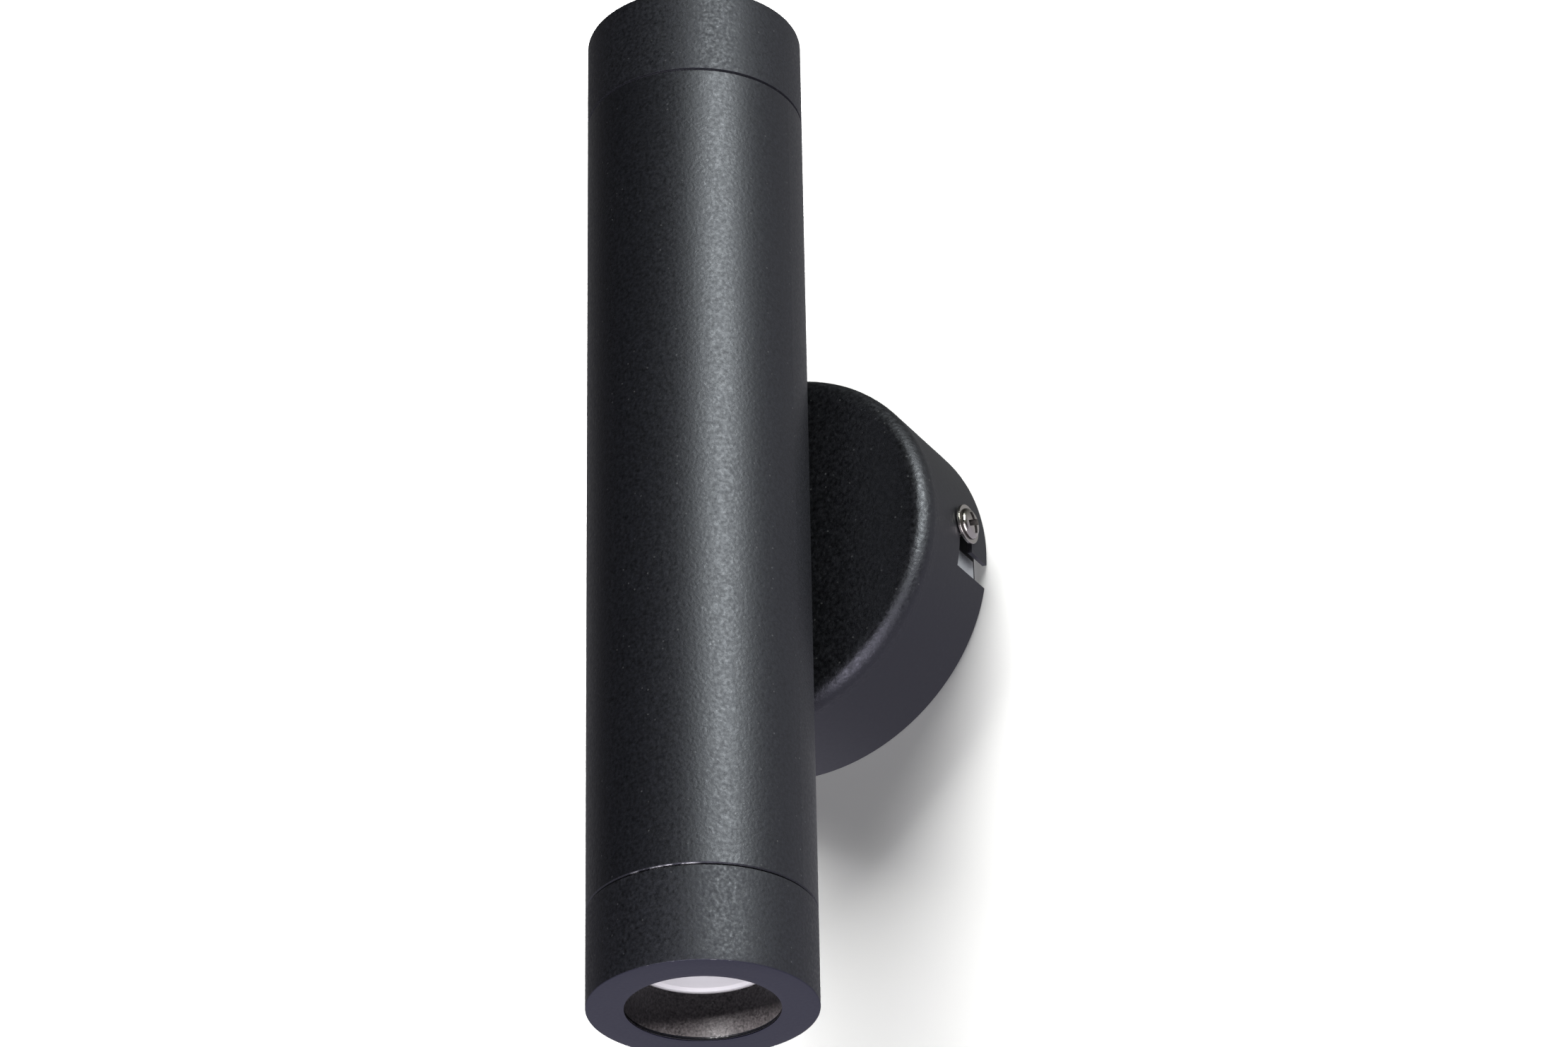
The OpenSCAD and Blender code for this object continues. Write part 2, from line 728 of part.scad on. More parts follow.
// Ceramic lampholder with keyhole slots, a pin chamber and counterbored screw holes
module lampholder() {
    head_r = pin_head_d / 2 + head_play;
    color(ceramic) difference() {
        translate([0, 0, holder_depth]) cylinder(r = holder_d / 2, h = holder_h);
        translate([0, 0, holder_depth - cut]) {
            pin_track(pin_neck_d / 2 + neck_play, holder_face_t + 2 * cut);
            pin_entries(head_r, holder_face_t + 2 * cut);
        }
        translate([0, 0, chamber_depth]) pin_track(head_r + chamber_relief, chamber_h);
        for (x = [-pin_pitch / 2, pin_pitch / 2]) {
            translate([x, 0, chamber_depth]) cylinder(r = tail_d / 2 + drill_fit, h = holder_h);
        }
        for (y = [-holder_screw_pitch / 2, holder_screw_pitch / 2]) {
            translate([0, y, holder_depth - cut]) {
                cylinder(r = m3_d / 2 + drill_fit, h = holder_h + 2 * cut);
                cylinder(r = m3_head_d / 2 + drill_fit, h = counterbore_h + cut);
            }
        }
    }
}

module lower_lampholder() {
    lower_end() lampholder();
}

module upper_lampholder() {
    upper_end() lampholder();
}

// Brass contacts on the floor of the chamber, each with a tail for its wire
module lamp_contacts() {
    pin_back = shoulder_depth + pin_l;
    pip_front = pin_back + contact_gap;
    color(brass) both_ends() for (x = [-pin_pitch / 2, pin_pitch / 2]) {
        translate([x, 0, chamber_floor - contact_t]) cylinder(r = pin_head_d / 2, h = contact_t);
        translate([x, 0, pip_front]) cylinder(r = pin_neck_d / 2, h = chamber_floor - pip_front);
        translate([x, 0, chamber_floor - contact_t]) cylinder(r = tail_d / 2, h = contact_t + tail_l);
    }
}

module holder_screws() {
    head_back = holder_depth + counterbore_h;
    shank_l = foot_depth + strip_t + m3_nut_t + m3_proud - head_back;
    color(zinc) both_ends() for (y = [-holder_screw_pitch / 2, holder_screw_pitch / 2]) {
        translate([0, y, head_back]) rotate([180, 0, 0]) small_screw(shank_l);
    }
}

// Small pan-head screw: the head stands on the origin and the shank hangs below it
module small_screw(shank_l) {
    slot_depth = 0.8;
    slot_t = 0.8;
    difference() {
        cylinder(r = m3_head_d / 2, h = m3_head_h);
        translate([-m3_head_d, -slot_t / 2, m3_head_h - slot_depth])
            cube([2 * m3_head_d, slot_t, slot_depth + cut]);
    }
    translate([0, 0, -shank_l]) cylinder(r = m3_d / 2, h = shank_l);
}

module holder_nuts() {
    color(zinc) both_ends() for (y = [-holder_screw_pitch / 2, holder_screw_pitch / 2]) {
        translate([0, y, foot_depth + strip_t]) hex_nut(m3_nut_af, m3_d / 2 + tap_fit, m3_nut_t);
    }
}

module live_wires() {
    color(live_brown) {
        wire(lower_wire_run, wire_d);
        wire(upper_wire_run, wire_d);
    }
}

module neutral_wires() {
    color(neutral_blue) mirror([1, 0, 0]) {
        wire(lower_wire_run, wire_d);
        wire(upper_wire_run, wire_d);
    }
}

module earth_wire() {
    color(earth_green) wire(earth_run, wire_d);
}

// Steel plate under the canopy nut, which carries the terminal block and the earth screw
module terminal_plate() {
    color(zinc) difference() {
        translate([-plate_w / 2, washer_y, -plate_down]) rotate([90, 0, 0])
            linear_extrude(plate_t) round_rect([plate_w, plate_down + plate_up], plate_corner_r);
        translate([0, plate_y - cut, 0]) y_cylinder(nipple_hole_r, plate_t + 2 * cut);
        translate([0, plate_y - cut, earth_up])
            y_cylinder(earth_screw_d / 2 + tap_fit, plate_t + 2 * cut);
        for (x = [-pole_pitch / 2, pole_pitch / 2]) {
            translate([x, plate_y - cut, -block_down]) y_cylinder(m3_d / 2 + tap_fit, plate_t + 2 * cut);
        }
    }
}

// Terminal block with a bore for each barrel, clamp screw shafts and two fixing holes
module terminal_block() {
    notch_w = 1.6;
    notch_h = 4;
    color(white_plastic) difference() {
        translate([-block_w / 2, washer_y, -block_down - block_l / 2]) cube([block_w, block_h, block_l]);
        for (pole = [-1, 0, 1]) {
            translate([pole * pole_pitch, barrel_y, -block_down - block_l / 2 - cut])
                cylinder(r = barrel_d / 2 + tap_fit, h = block_l + 2 * cut);
            for (z = clamp_places()) {
                translate([pole * pole_pitch, barrel_y, z])
                    y_cylinder(clamp_d / 2 + drill_fit, block_h);
            }
        }
        for (side = [-1, 1]) {
            translate([side * pole_pitch / 2, washer_y - cut, -block_down]) {
                y_cylinder(m3_d / 2 + drill_fit, block_h + 2 * cut);
                translate([0, cut + block_h - m3_head_h, 0])
                    y_cylinder(m3_head_d / 2 + drill_fit, m3_head_h + cut);
            }
            translate([side * pole_pitch / 2 - notch_w / 2, block_back - notch_h, -block_down])
                for (end = [-1, 1]) {
                    translate([0, 0, end * block_l / 2 - notch_w])
                        cube([notch_w, notch_h + cut, 2 * notch_w]);
                }
        }
    }
}

function clamp_places() = [for (end = [-1, 1]) -block_down + end * barrel_l / 3.2];

module terminal_barrels() {
    color(brass) for (pole = [-1, 0, 1]) {
        difference() {
            translate([pole * pole_pitch, barrel_y, -block_down - barrel_l / 2])
                cylinder(r = barrel_d / 2, h = barrel_l);
            translate([pole * pole_pitch, barrel_y, -block_down - barrel_l / 2 - cut])
                cylinder(r = barrel_bore / 2, h = barrel_l + 2 * cut);
            for (z = clamp_places()) {
                translate([pole * pole_pitch, barrel_y, z]) y_cylinder(clamp_d / 2 + tap_fit, barrel_d);
            }
        }
    }
}

// Clamp screws: each tip stops just short of the wires in its barrel
module clamp_screws() {
    tip_y = barrel_y + wire_d / 2 + contact_gap;
    slot_t = 0.6;
    color(zinc) for (pole = [-1, 0, 1], z = clamp_places()) {
        translate([pole * pole_pitch, tip_y, z]) difference() {
            y_cylinder(clamp_d / 2, clamp_l);
            translate([-clamp_d, clamp_l - slot_t, -slot_t / 2])
                cube([2 * clamp_d, slot_t + cut, slot_t]);
        }
    }
}

module block_screws() {
    head_y = block_back - m3_head_h;
    shank_l = head_y - plate_y - tip_clear;
    color(zinc) for (x = [-pole_pitch / 2, pole_pitch / 2]) {
        translate([x, head_y, -block_down]) rotate([-90, 0, 0]) small_screw(shank_l);
    }
}

// Ring tag under the earth screw, with a crimped barrel towards -X
module earth_tag() {
    neck_overlap = 2;
    color(zinc) translate([0, 0, earth_up]) difference() {
        union() {
            translate([0, washer_y, 0]) y_cylinder(earth_head_d / 2, tag_t);
            translate([crimp_x, crimp_y, 0]) rotate([0, -90, 0])
                cylinder(r = crimp_d / 2, h = crimp_l);
            translate([crimp_x - crimp_neck, washer_y, -crimp_d / 2])
                cube([2 * crimp_neck + neck_overlap, tag_t, crimp_d]);
        }
        translate([0, washer_y - cut, 0]) y_cylinder(earth_screw_d / 2 + drill_fit, tag_t + 2 * cut);
    }
}

module earth_screw() {
    head_y = washer_y + tag_t;
    shank_l = head_y - plate_y - tip_clear;
    color(brass) translate([0, head_y, earth_up]) difference() {
        union() {
            y_cylinder(earth_head_d / 2, earth_head_h);
            translate([0, -shank_l, 0]) y_cylinder(earth_screw_d / 2, shank_l + small_bevel);
        }
        translate([0, earth_head_h, 0]) rotate([-90, 0, 0])
            cross_recess(recess_span * earth_head_d, recess_depth * earth_head_h);
    }
}

// Reflector-shaped lamp: shell, lens, cap and pins are turned about the tube's axis
module lamp_shell() {
    cap_depth = shoulder_depth - cap_l;
    rim_back = lens_depth + lamp_rim_h;
    neck_r = neck_d / 2;
    seat_r = lens_r + tap_fit;
    rim_step = 2;
    rim_slope_h = 1.2;
    flare_steps = 6;
    waist_r = lamp_d / 2 - rim_step;
    waist_depth = rim_back + rim_slope_h;
    flare_h = 0.65 * (cap_depth - rim_back);
    color(white_plastic) rotate_extrude() polygon([
        [0, lens_depth + lens_t], [seat_r, lens_depth + lens_t], [seat_r, lens_depth],
        [lamp_d / 2 - small_bevel, lens_depth], [lamp_d / 2, lens_depth + small_bevel],
        [lamp_d / 2, rim_back], [waist_r, waist_depth],
        for (step = [1 : flare_steps])
            let (t = step / flare_steps)
            [waist_r + (neck_r - waist_r) * sin(90 * t), waist_depth + flare_h * t * t],
        [neck_r, cap_depth], [0, cap_depth]
    ]);
}

// Frosted lens: a flat rim, a steep inner slope and a dished face with a sunken centre
module lamp_lens() {
    slope_w = 0.7;
    centre_slope_w = 0.8;
    dish_depth = lens_depth + 0.7;
    centre_rim_depth = lens_depth + 1.1;
    centre_depth = lens_depth + 1.5;
    dish_r = dish_d / 2;
    centre_r = dish_centre_d / 2;
    color(lens_white) rotate_extrude() polygon([
        [0, lens_depth + lens_t], [0, centre_depth], [centre_r - centre_slope_w, centre_depth],
        [centre_r, centre_rim_depth], [dish_r - slope_w, dish_depth], [dish_r, lens_depth],
        [lens_r, lens_depth], [lens_r, lens_depth + lens_t]
    ]);
}

// Plastic cap with sockets for the two pins
module lamp_cap() {
    cap_depth = shoulder_depth - cap_l;
    step_h = cap_l / 3;
    cone_h = 2;
    color(white_plastic) difference() {
        rotate_extrude() polygon([
            [0, cap_depth], [neck_d / 2, cap_depth], [neck_d / 2, cap_depth + step_h],
            [cap_d / 2, cap_depth + step_h + cone_h], [cap_d / 2, shoulder_depth - small_bevel],
            [cap_d / 2 - small_bevel, shoulder_depth], [0, shoulder_depth]
        ]);
        for (x = [-pin_pitch / 2, pin_pitch / 2]) {
            translate([x, 0, shoulder_depth - step_h])
                cylinder(r = pin_neck_d / 2 + tap_fit, h = step_h + cut);
        }
    }
}

module lamp_pins() {
    root_l = cap_l / 3;
    color(nickel) for (x = [-pin_pitch / 2, pin_pitch / 2]) {
        translate([x, 0, shoulder_depth - root_l])
            cylinder(r = pin_neck_d / 2, h = root_l + pin_neck_l + small_bevel);
        translate([x, 0, shoulder_depth + pin_neck_l]) rotate_extrude() polygon([
            [0, 0], [pin_head_d / 2, 0], [pin_head_d / 2, pin_head_l - small_bevel],
            [pin_head_d / 2 - small_bevel, pin_head_l], [0, pin_head_l]
        ]);
    }
}

module lower_lamp_shell() {
    lower_end() lamp_shell();
}

module lower_lamp_lens() {
    lower_end() lamp_lens();
}

module lower_lamp_cap() {
    lower_end() lamp_cap();
}

module lower_lamp_pins() {
    lower_end() lamp_pins();
}

module upper_lamp_shell() {
    upper_end() lamp_shell();
}

module upper_lamp_lens() {
    upper_end() lamp_lens();
}

module upper_lamp_cap() {
    upper_end() lamp_cap();
}

module upper_lamp_pins() {
    upper_end() lamp_pins();
}

// Anti-glare insert: a conical bore, a flange behind the ring's end wall and a skirt on the lamp
module insert() {
    front_r = insert_mouth_d / 2;
    nose_r = min(ledge_r - insert_fit, front_r + insert_wall);
    throat_outer_r = throat_r + insert_wall;
    flange_back = insert_flange + insert_wall;
    taper = (nose_r - throat_outer_r) / insert_depth;
    color(insert_black) rotate_extrude() polygon([
        [front_r, insert_front], [nose_r, insert_front], [nose_r, insert_flange],
        [insert_r, insert_flange], [insert_r, throat_depth], [insert_r - insert_wall, throat_depth],
        [insert_r - insert_wall, flange_back], [nose_r - taper * (flange_back - insert_front), flange_back],
        [throat_outer_r, throat_depth], [throat_r, throat_depth]
    ]);
}

module lower_insert() {
    lower_end() insert();
}

module upper_insert() {
    upper_end() insert();
}

// End ring: end wall with the light mouth, outer skirt and threaded spigot
module end_ring() {
    spigot_end = ring_h + spigot_h;
    mouth_bevel = lip_edge_t / 3;
    color(black_paint) rotate_extrude() polygon([
        [mouth_r + mouth_bevel, 0], [tube_r - end_bevel, 0], [tube_r, end_bevel],
        [tube_r, ring_h - seam_bevel], [tube_r - seam_bevel, ring_h],
        [spigot_r - runout_t, ring_h], [spigot_r - runout_t, ring_h + runout_h],
        [spigot_r, ring_h + runout_h + runout_t], [spigot_r, spigot_end - small_bevel],
        [spigot_r - small_bevel, spigot_end], [ring_bore_r, spigot_end], [ring_bore_r, lip_t],
        [ledge_r, lip_t], [ledge_r, lip_edge_t], [mouth_r, lip_edge_t], [mouth_r, mouth_bevel]
    ]);
}

module lower_ring() {
    lower_end() end_ring();
}

module upper_ring() {
    upper_end() end_ring();
}

wall_bracket();
side_screws();
canopy();
nipple();
canopy_nut();
lock_washer();
tube_nut();
wire_bushes();
tube_body();
lampholder_strip();
lower_lampholder();
upper_lampholder();
holder_screws();
holder_nuts();
lamp_contacts();
live_wires();
neutral_wires();
earth_wire();
terminal_plate();
terminal_block();
terminal_barrels();
clamp_screws();
block_screws();
earth_tag();
earth_screw();
lower_lamp_shell();
lower_lamp_lens();
lower_lamp_cap();
lower_lamp_pins();
upper_lamp_shell();
upper_lamp_lens();
upper_lamp_cap();
upper_lamp_pins();
lower_insert();
upper_insert();
lower_ring();
upper_ring();
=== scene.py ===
# %% [markdown]
# # An up-and-down wall lamp
# The lamp is a vertical tube with a screw-on ring at each end. A round canopy carries it and hooks
# over a bracket on the wall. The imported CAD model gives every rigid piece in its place, in metres,
# with +Z up and the wall at y = 0. This script adds what the CAD leaves out: threads, screw heads,
# smooth wires and, above all, the finishes.

# %% Load the frame
import json
import math
import bpy
import bmesh
from mathutils import Matrix, Vector


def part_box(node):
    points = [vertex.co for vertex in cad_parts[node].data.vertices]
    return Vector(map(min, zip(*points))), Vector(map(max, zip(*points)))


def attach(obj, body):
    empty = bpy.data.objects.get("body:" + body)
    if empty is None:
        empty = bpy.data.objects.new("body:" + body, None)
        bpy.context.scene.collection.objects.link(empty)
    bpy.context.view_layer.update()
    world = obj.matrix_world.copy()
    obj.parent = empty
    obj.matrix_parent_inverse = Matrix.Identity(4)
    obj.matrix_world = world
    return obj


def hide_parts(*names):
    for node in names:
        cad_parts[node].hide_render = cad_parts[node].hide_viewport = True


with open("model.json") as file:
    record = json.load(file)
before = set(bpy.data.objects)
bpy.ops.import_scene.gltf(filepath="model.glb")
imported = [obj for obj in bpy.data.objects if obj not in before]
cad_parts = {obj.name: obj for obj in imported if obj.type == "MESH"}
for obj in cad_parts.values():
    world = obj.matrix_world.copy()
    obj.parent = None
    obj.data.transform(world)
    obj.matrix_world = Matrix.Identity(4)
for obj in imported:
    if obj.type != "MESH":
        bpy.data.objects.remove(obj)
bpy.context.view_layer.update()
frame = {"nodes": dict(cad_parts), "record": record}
MM = 0.001

# %% [markdown]
# ## The camera
# The photograph is taken from below and from the lamp's right with a long lens. Its place was found
# by fitting the tube's edges, the seams, the mouth and the canopy's outline to the picture. A camera
# looks along its own -Z, so its matrix holds the right, up and backward directions as columns.

# %% Camera
camera_place = Vector((0.562698, -1.018879, -0.637169))
yaw, pitch, roll = -0.511424, 0.516529, -0.018717

forward = Vector((math.sin(yaw) * math.cos(pitch), math.cos(yaw) * math.cos(pitch), math.sin(pitch)))
level_right = Vector((math.cos(yaw), -math.sin(yaw), 0))
level_up = level_right.cross(forward)
right = math.cos(roll) * level_right + math.sin(roll) * level_up
up = -math.sin(roll) * level_right + math.cos(roll) * level_up

camera = bpy.data.objects.new("camera", bpy.data.cameras.new("camera"))
camera.data.sensor_width = 36
camera.data.lens = 117.32
camera.data.clip_start, camera.data.clip_end = 0.01, 50
camera.matrix_world = Matrix.Translation(camera_place) @ Matrix((right, up, -forward)).transposed().to_4x4()
bpy.context.scene.collection.objects.link(camera)
bpy.context.scene.camera = camera
print("camera looks along", [round(c, 3) for c in forward])

# %% [markdown]
# ## Sizes from the frame
# Every added piece is placed from the CAD boxes, so it follows the model. Depths are measured from an
# end face of the lamp towards its middle, as the CAD does, because both ends are alike.

# %% Sizes
SEAM_GAP = 0.1 * MM
MOUTH_R = 18.8 * MM
THREAD_PITCH = 1.5 * MM

tube_low, tube_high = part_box("tube_body")
TUBE_R = (tube_high.x - tube_low.x) / 2
AXIS_Y = (tube_high.y + tube_low.y) / 2
HALF_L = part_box("upper_ring")[1].z
SPIGOT_END = HALF_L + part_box("lower_ring")[1].z
RING_H = HALF_L - tube_high.z - SEAM_GAP
INSERT_FRONT = HALF_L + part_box("lower_insert")[0].z
CANOPY_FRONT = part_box("canopy")[0].y
CANOPY_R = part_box("canopy")[1].x
print("tube radius %.2f mm, axis %.2f mm off the wall, ring %.2f mm high"
      % (TUBE_R / MM, -AXIS_Y / MM, RING_H / MM))

# %% [markdown]
# ## Shader groups
# Several finishes share the same effects. Each effect is a node group with named inputs, made once
# and placed in each material with its own values. A group gives out only colours, values, masks and
# heights; the Principled shader stays in the material.

# %% Helpers for node trees
def new_group(name, inputs, outputs):
    """A shader node group: inputs are (name, type, default) and outputs (name, type)."""
    tree = bpy.data.node_groups.new(name, "ShaderNodeTree")
    for title, kind, default in inputs:
        socket = tree.interface.new_socket(title, in_out="INPUT", socket_type="NodeSocket" + kind)
        socket.default_value = default
    for title, kind in outputs:
        tree.interface.new_socket(title, in_out="OUTPUT", socket_type="NodeSocket" + kind)
    return tree, tree.nodes.new("NodeGroupInput"), tree.nodes.new("NodeGroupOutput")


def add(tree, kind, links=None, **settings):
    """A node with its settings; links maps an input's name or number to a socket or a value."""
    node = tree.nodes.new(kind)
    for title, value in settings.items():
        setattr(node, title, value)
    for key, source in (links or {}).items():
        if isinstance(source, bpy.types.NodeSocket):
            tree.links.new(source, node.inputs[key])
        else:
            node.inputs[key].default_value = source
    return node


# %% Helpers for values
def math_node(tree, operation, *values, clamp=False):
    node = add(tree, "ShaderNodeMath", dict(enumerate(values)), operation=operation, use_clamp=clamp)
    return node.outputs[0]


def plus(tree, first, second):
    return math_node(tree, "ADD", first, second)


def minus(tree, first, second):
    return math_node(tree, "SUBTRACT", first, second)


def times(tree, first, *factors):
    product = first
    for factor in factors:
        product = math_node(tree, "MULTIPLY", product, factor)
    return product


def over(tree, first, second, clamp=False):
    return math_node(tree, "DIVIDE", first, second, clamp=clamp)


def ramp(tree, value, low, high, to_low=0.0, to_high=1.0):
    """Maps low..high to to_low..to_high and stops there."""
    node = add(tree, "ShaderNodeMapRange", {"Value": value, "From Min": low, "From Max": high,
                                            "To Min": to_low, "To Max": to_high})
    return node.outputs[0]


# %% Helpers for colours and patterns
def mix_colour(tree, factor, first, second):
    return add(tree, "ShaderNodeMix", {0: factor, 6: first, 7: second}, data_type="RGBA").outputs[2]


def shaded(tree, colour, shade):
    """The colour times a grey level."""
    return add(tree, "ShaderNodeVectorMath", {0: colour, 1: shade}, operation="MULTIPLY").outputs[0]


def noise(tree, point, scale, detail, roughness=0.5):
    return add(tree, "ShaderNodeTexNoise", {"Vector": point, "Scale": scale, "Detail": detail,
                                            "Roughness": roughness}).outputs["Fac"]


def object_point(tree):
    return tree.nodes.new("ShaderNodeTexCoord").outputs["Object"]


def object_axes(tree):
    """X, Y and Z of the point on the object."""
    return add(tree, "ShaderNodeSeparateXYZ", {0: object_point(tree)}).outputs


def depth_from_end(tree):
    """How far in a point lies from the nearer end face of the lamp."""
    return minus(tree, HALF_L, math_node(tree, "ABSOLUTE", object_axes(tree)[2]))


# %% [markdown]
# ### Sand-textured powder coat
# The lamp's black finish is a fine-textured powder coat: grains of just under a millimetre, each with
# its own slope and its own gloss. A noise and a pattern of rounded cells make the grain, and a second
# noise its gloss. Single cells are paler flecks, and a slow, faint noise keeps large surfaces from
# looking too even.

# %% Powder coat group
FLECK = (0.11, 0.11, 0.115, 1)
SLOW_PER_METRE = 55.0
NOISE_SHARE = 0.65
CELL_SHARE = 0.35


def powder_coat_group():
    tree, given, out = new_group(
        "sand_coat",
        [("Colour", "Color", (0.012, 0.012, 0.015, 1)), ("Grain Size", "Float", 0.0009),
         ("Mottle", "Float", 1.4), ("Roughness", "Float", 0.5), ("Gloss Spread", "Float", 0.12),
         ("Flecks", "Float", 0.3), ("Fleck Share", "Float", 0.2)],
        [("Colour", "Color"), ("Roughness", "Float"), ("Height", "Float")])
    values = given.outputs
    point = object_point(tree)
    per_metre = over(tree, 1.0, values["Grain Size"])
    grain = noise(tree, point, per_metre, 2.0, roughness=0.55)
    mottle = times(tree, minus(tree, grain, 0.5), values["Mottle"])
    shade = math_node(tree, "MAXIMUM", plus(tree, 1.0, mottle), 0.1)
    slow = noise(tree, point, SLOW_PER_METRE, 3.0)
    shade = times(tree, shade, ramp(tree, slow, 0.3, 0.7, 0.93, 1.07))
    tone = shaded(tree, values["Colour"], shade)

    fleck = add(tree, "ShaderNodeTexVoronoi", {"Vector": point, "Scale": times(tree, per_metre, 0.45)},
                feature="F1").outputs
    chance = add(tree, "ShaderNodeSeparateColor", {0: fleck["Color"]}).outputs[0]
    chosen = math_node(tree, "LESS_THAN", chance, values["Fleck Share"])
    bright = times(tree, ramp(tree, fleck["Distance"], 0.16, 0.05), values["Flecks"], chosen)
    tree.links.new(mix_colour(tree, bright, tone, FLECK), out.inputs["Colour"])

    aside = add(tree, "ShaderNodeVectorMath", {0: point, 1: (0.31, 0.17, 0.23)}, operation="ADD")
    gloss = noise(tree, aside.outputs[0], times(tree, per_metre, 0.9), 1.0)
    spread = times(tree, minus(tree, gloss, 0.5), values["Gloss Spread"], 2.0)
    tree.links.new(plus(tree, values["Roughness"], spread), out.inputs["Roughness"])

    cell = add(tree, "ShaderNodeTexVoronoi", {"Vector": point, "Scale": per_metre, "Randomness": 1.0},
               feature="SMOOTH_F1").outputs["Distance"]
    height = plus(tree, times(tree, grain, NOISE_SHARE), times(tree, minus(tree, 1.0, cell), CELL_SHARE))
    tree.links.new(height, out.inputs["Height"])
    return tree


sand_coat = powder_coat_group()
print(sand_coat.name, "group of", len(sand_coat.nodes), "nodes")

# %% [markdown]
# ### Worn edge
# Where the ring meets the tube the coat has been rubbed off the bevel, and bare aluminium shows as a
# thin bright line that comes and goes. The mask is a narrow band round a height on the tube, faded in
# and out along its turn and broken up by noise.

# %% Worn edge group
def worn_edge_group():
    tree, given, out = new_group(
        "worn_edge",
        [("Level", "Float", 0.0), ("Band", "Float", 0.0002), ("Facing", "Float", 0.0),
         ("Spread", "Float", 0.5), ("Break Up", "Float", 400.0), ("Coverage", "Float", 0.5)],
        [("Mask", "Float")])
    values = given.outputs
    x, y, z = object_axes(tree)
    off = math_node(tree, "ABSOLUTE", minus(tree, z, values["Level"]))
    band = ramp(tree, over(tree, off, values["Band"]), 1.0, 0.6)
    turn = math_node(tree, "ARCTAN2", x, minus(tree, AXIS_Y, y))
    aside = math_node(tree, "ABSOLUTE", minus(tree, turn, values["Facing"]))
    fade = ramp(tree, over(tree, aside, values["Spread"]), 1.0, 0.7)
    broken = noise(tree, object_point(tree), values["Break Up"], 3.0)
    low = times(tree, minus(tree, 1.0, values["Coverage"]), 0.7)
    worn = ramp(tree, minus(tree, broken, low), 0.08, 0.2)
    tree.links.new(times(tree, band, fade, worn), out.inputs["Mask"])
    return tree


worn_edge = worn_edge_group()
print(worn_edge.name, "group of", len(worn_edge.nodes), "nodes")

# %% [markdown]
# ### Handled surface
# Plated steel, brass, plastic and ceramic all carry the same small faults: a cloudy change of gloss
# and fine specks. One group serves them all, with the size and strength set for each.

# %% Handled surface group
def handled_group():
    tree, given, out = new_group(
        "handled_surface",
        [("Colour", "Color", (0.8, 0.8, 0.8, 1)), ("Roughness", "Float", 0.4),
         ("Cloud Size", "Float", 0.006), ("Cloud Strength", "Float", 0.1),
         ("Speck Size", "Float", 0.0004), ("Speck Strength", "Float", 0.1)],
        [("Colour", "Color"), ("Roughness", "Float"), ("Height", "Float")])
    values = given.outputs
    point = object_point(tree)
    cloud = noise(tree, point, over(tree, 1.0, values["Cloud Size"]), 4.0)
    speck = noise(tree, point, over(tree, 1.0, values["Speck Size"]), 2.0)
    sway = times(tree, minus(tree, cloud, 0.5), values["Cloud Strength"])
    dots = times(tree, minus(tree, speck, 0.5), values["Speck Strength"])
    shade = plus(tree, plus(tree, 1.0, times(tree, sway, 1.6)), dots)
    tree.links.new(shaded(tree, values["Colour"], shade), out.inputs["Colour"])
    rough = plus(tree, values["Roughness"], plus(tree, sway, dots))
    tree.links.new(math_node(tree, "MAXIMUM", rough, 0.08), out.inputs["Roughness"])
    tree.links.new(speck, out.inputs["Height"])
    return tree


handled = handled_group()
print(handled.name, "group of", len(handled.nodes), "nodes")

# %% [markdown]
# ## Materials
# Each slot of the record gets a procedural material, and the rings have their own version of the
# tube's. The first helper makes a material with its group in place and a Bump node for the fine
# relief; values that are the same all over the surface stand on the shader's own sockets. The others
# change a finish where a mask says.

# %% Material helpers
def finish_material(name, group, values, depth, distance, **shader):
    """A Principled material fed by a group; depth and distance set its bump."""
    material = bpy.data.materials.new(name)
    material.use_nodes = True
    tree = material.node_tree
    surface = tree.nodes["Principled BSDF"]
    effect = add(tree, "ShaderNodeGroup", node_tree=group)
    for title, value in values.items():
        effect.inputs[title].default_value = value
    tree.links.new(effect.outputs["Colour"], surface.inputs["Base Color"])
    tree.links.new(effect.outputs["Roughness"], surface.inputs["Roughness"])
    bump = add(tree, "ShaderNodeBump", {"Height": effect.outputs["Height"], "Strength": depth,
                                        "Distance": distance})
    tree.links.new(bump.outputs[0], surface.inputs["Normal"])
    for title, value in shader.items():
        surface.inputs[title.replace("_", " ")].default_value = value
    return material


def steer(material, socket, mask, value):
    """Mixes a colour or a number over what already feeds a socket of the shader."""
    tree = material.node_tree
    target = tree.nodes["Principled BSDF"].inputs[socket]
    before = target.links[0].from_socket if target.links else target.default_value
    if socket == "Base Color":
        mixed = mix_colour(tree, mask, before, value)
    else:
        mixed = add(tree, "ShaderNodeMix", {0: mask, 2: before, 3: value}, data_type="FLOAT").outputs[0]
    tree.links.new(mixed, target)


def cover(material, mask, colour, roughness):
    """Gives the part under the mask its own colour and roughness."""
    steer(material, "Base Color", mask, colour)
    steer(material, "Roughness", mask, roughness)


# %% [markdown]
# ### Black coats
# Tube, rings and canopy share the coat. The rings are a little duller, as in the photograph. The tube
# shows the worn bevel at its lower end, and the lower ring a few bare specks on the edge of its face.
# The rings' end faces are ground flatter than their sides and carry a painted bluish reflection in their
# colour, the inner edge of their mouths is smooth, and their spigots are bare. The canopy's grain is
# coarser, glossier on its front and nearly gone on its rim.

# %% Black coats
BLACK = (0.0028, 0.0030, 0.0040, 1)
CANOPY_BLACK = (0.0008, 0.0008, 0.0011, 1)
COAT_SHEEN = (0.95, 0.96, 1.14, 1)

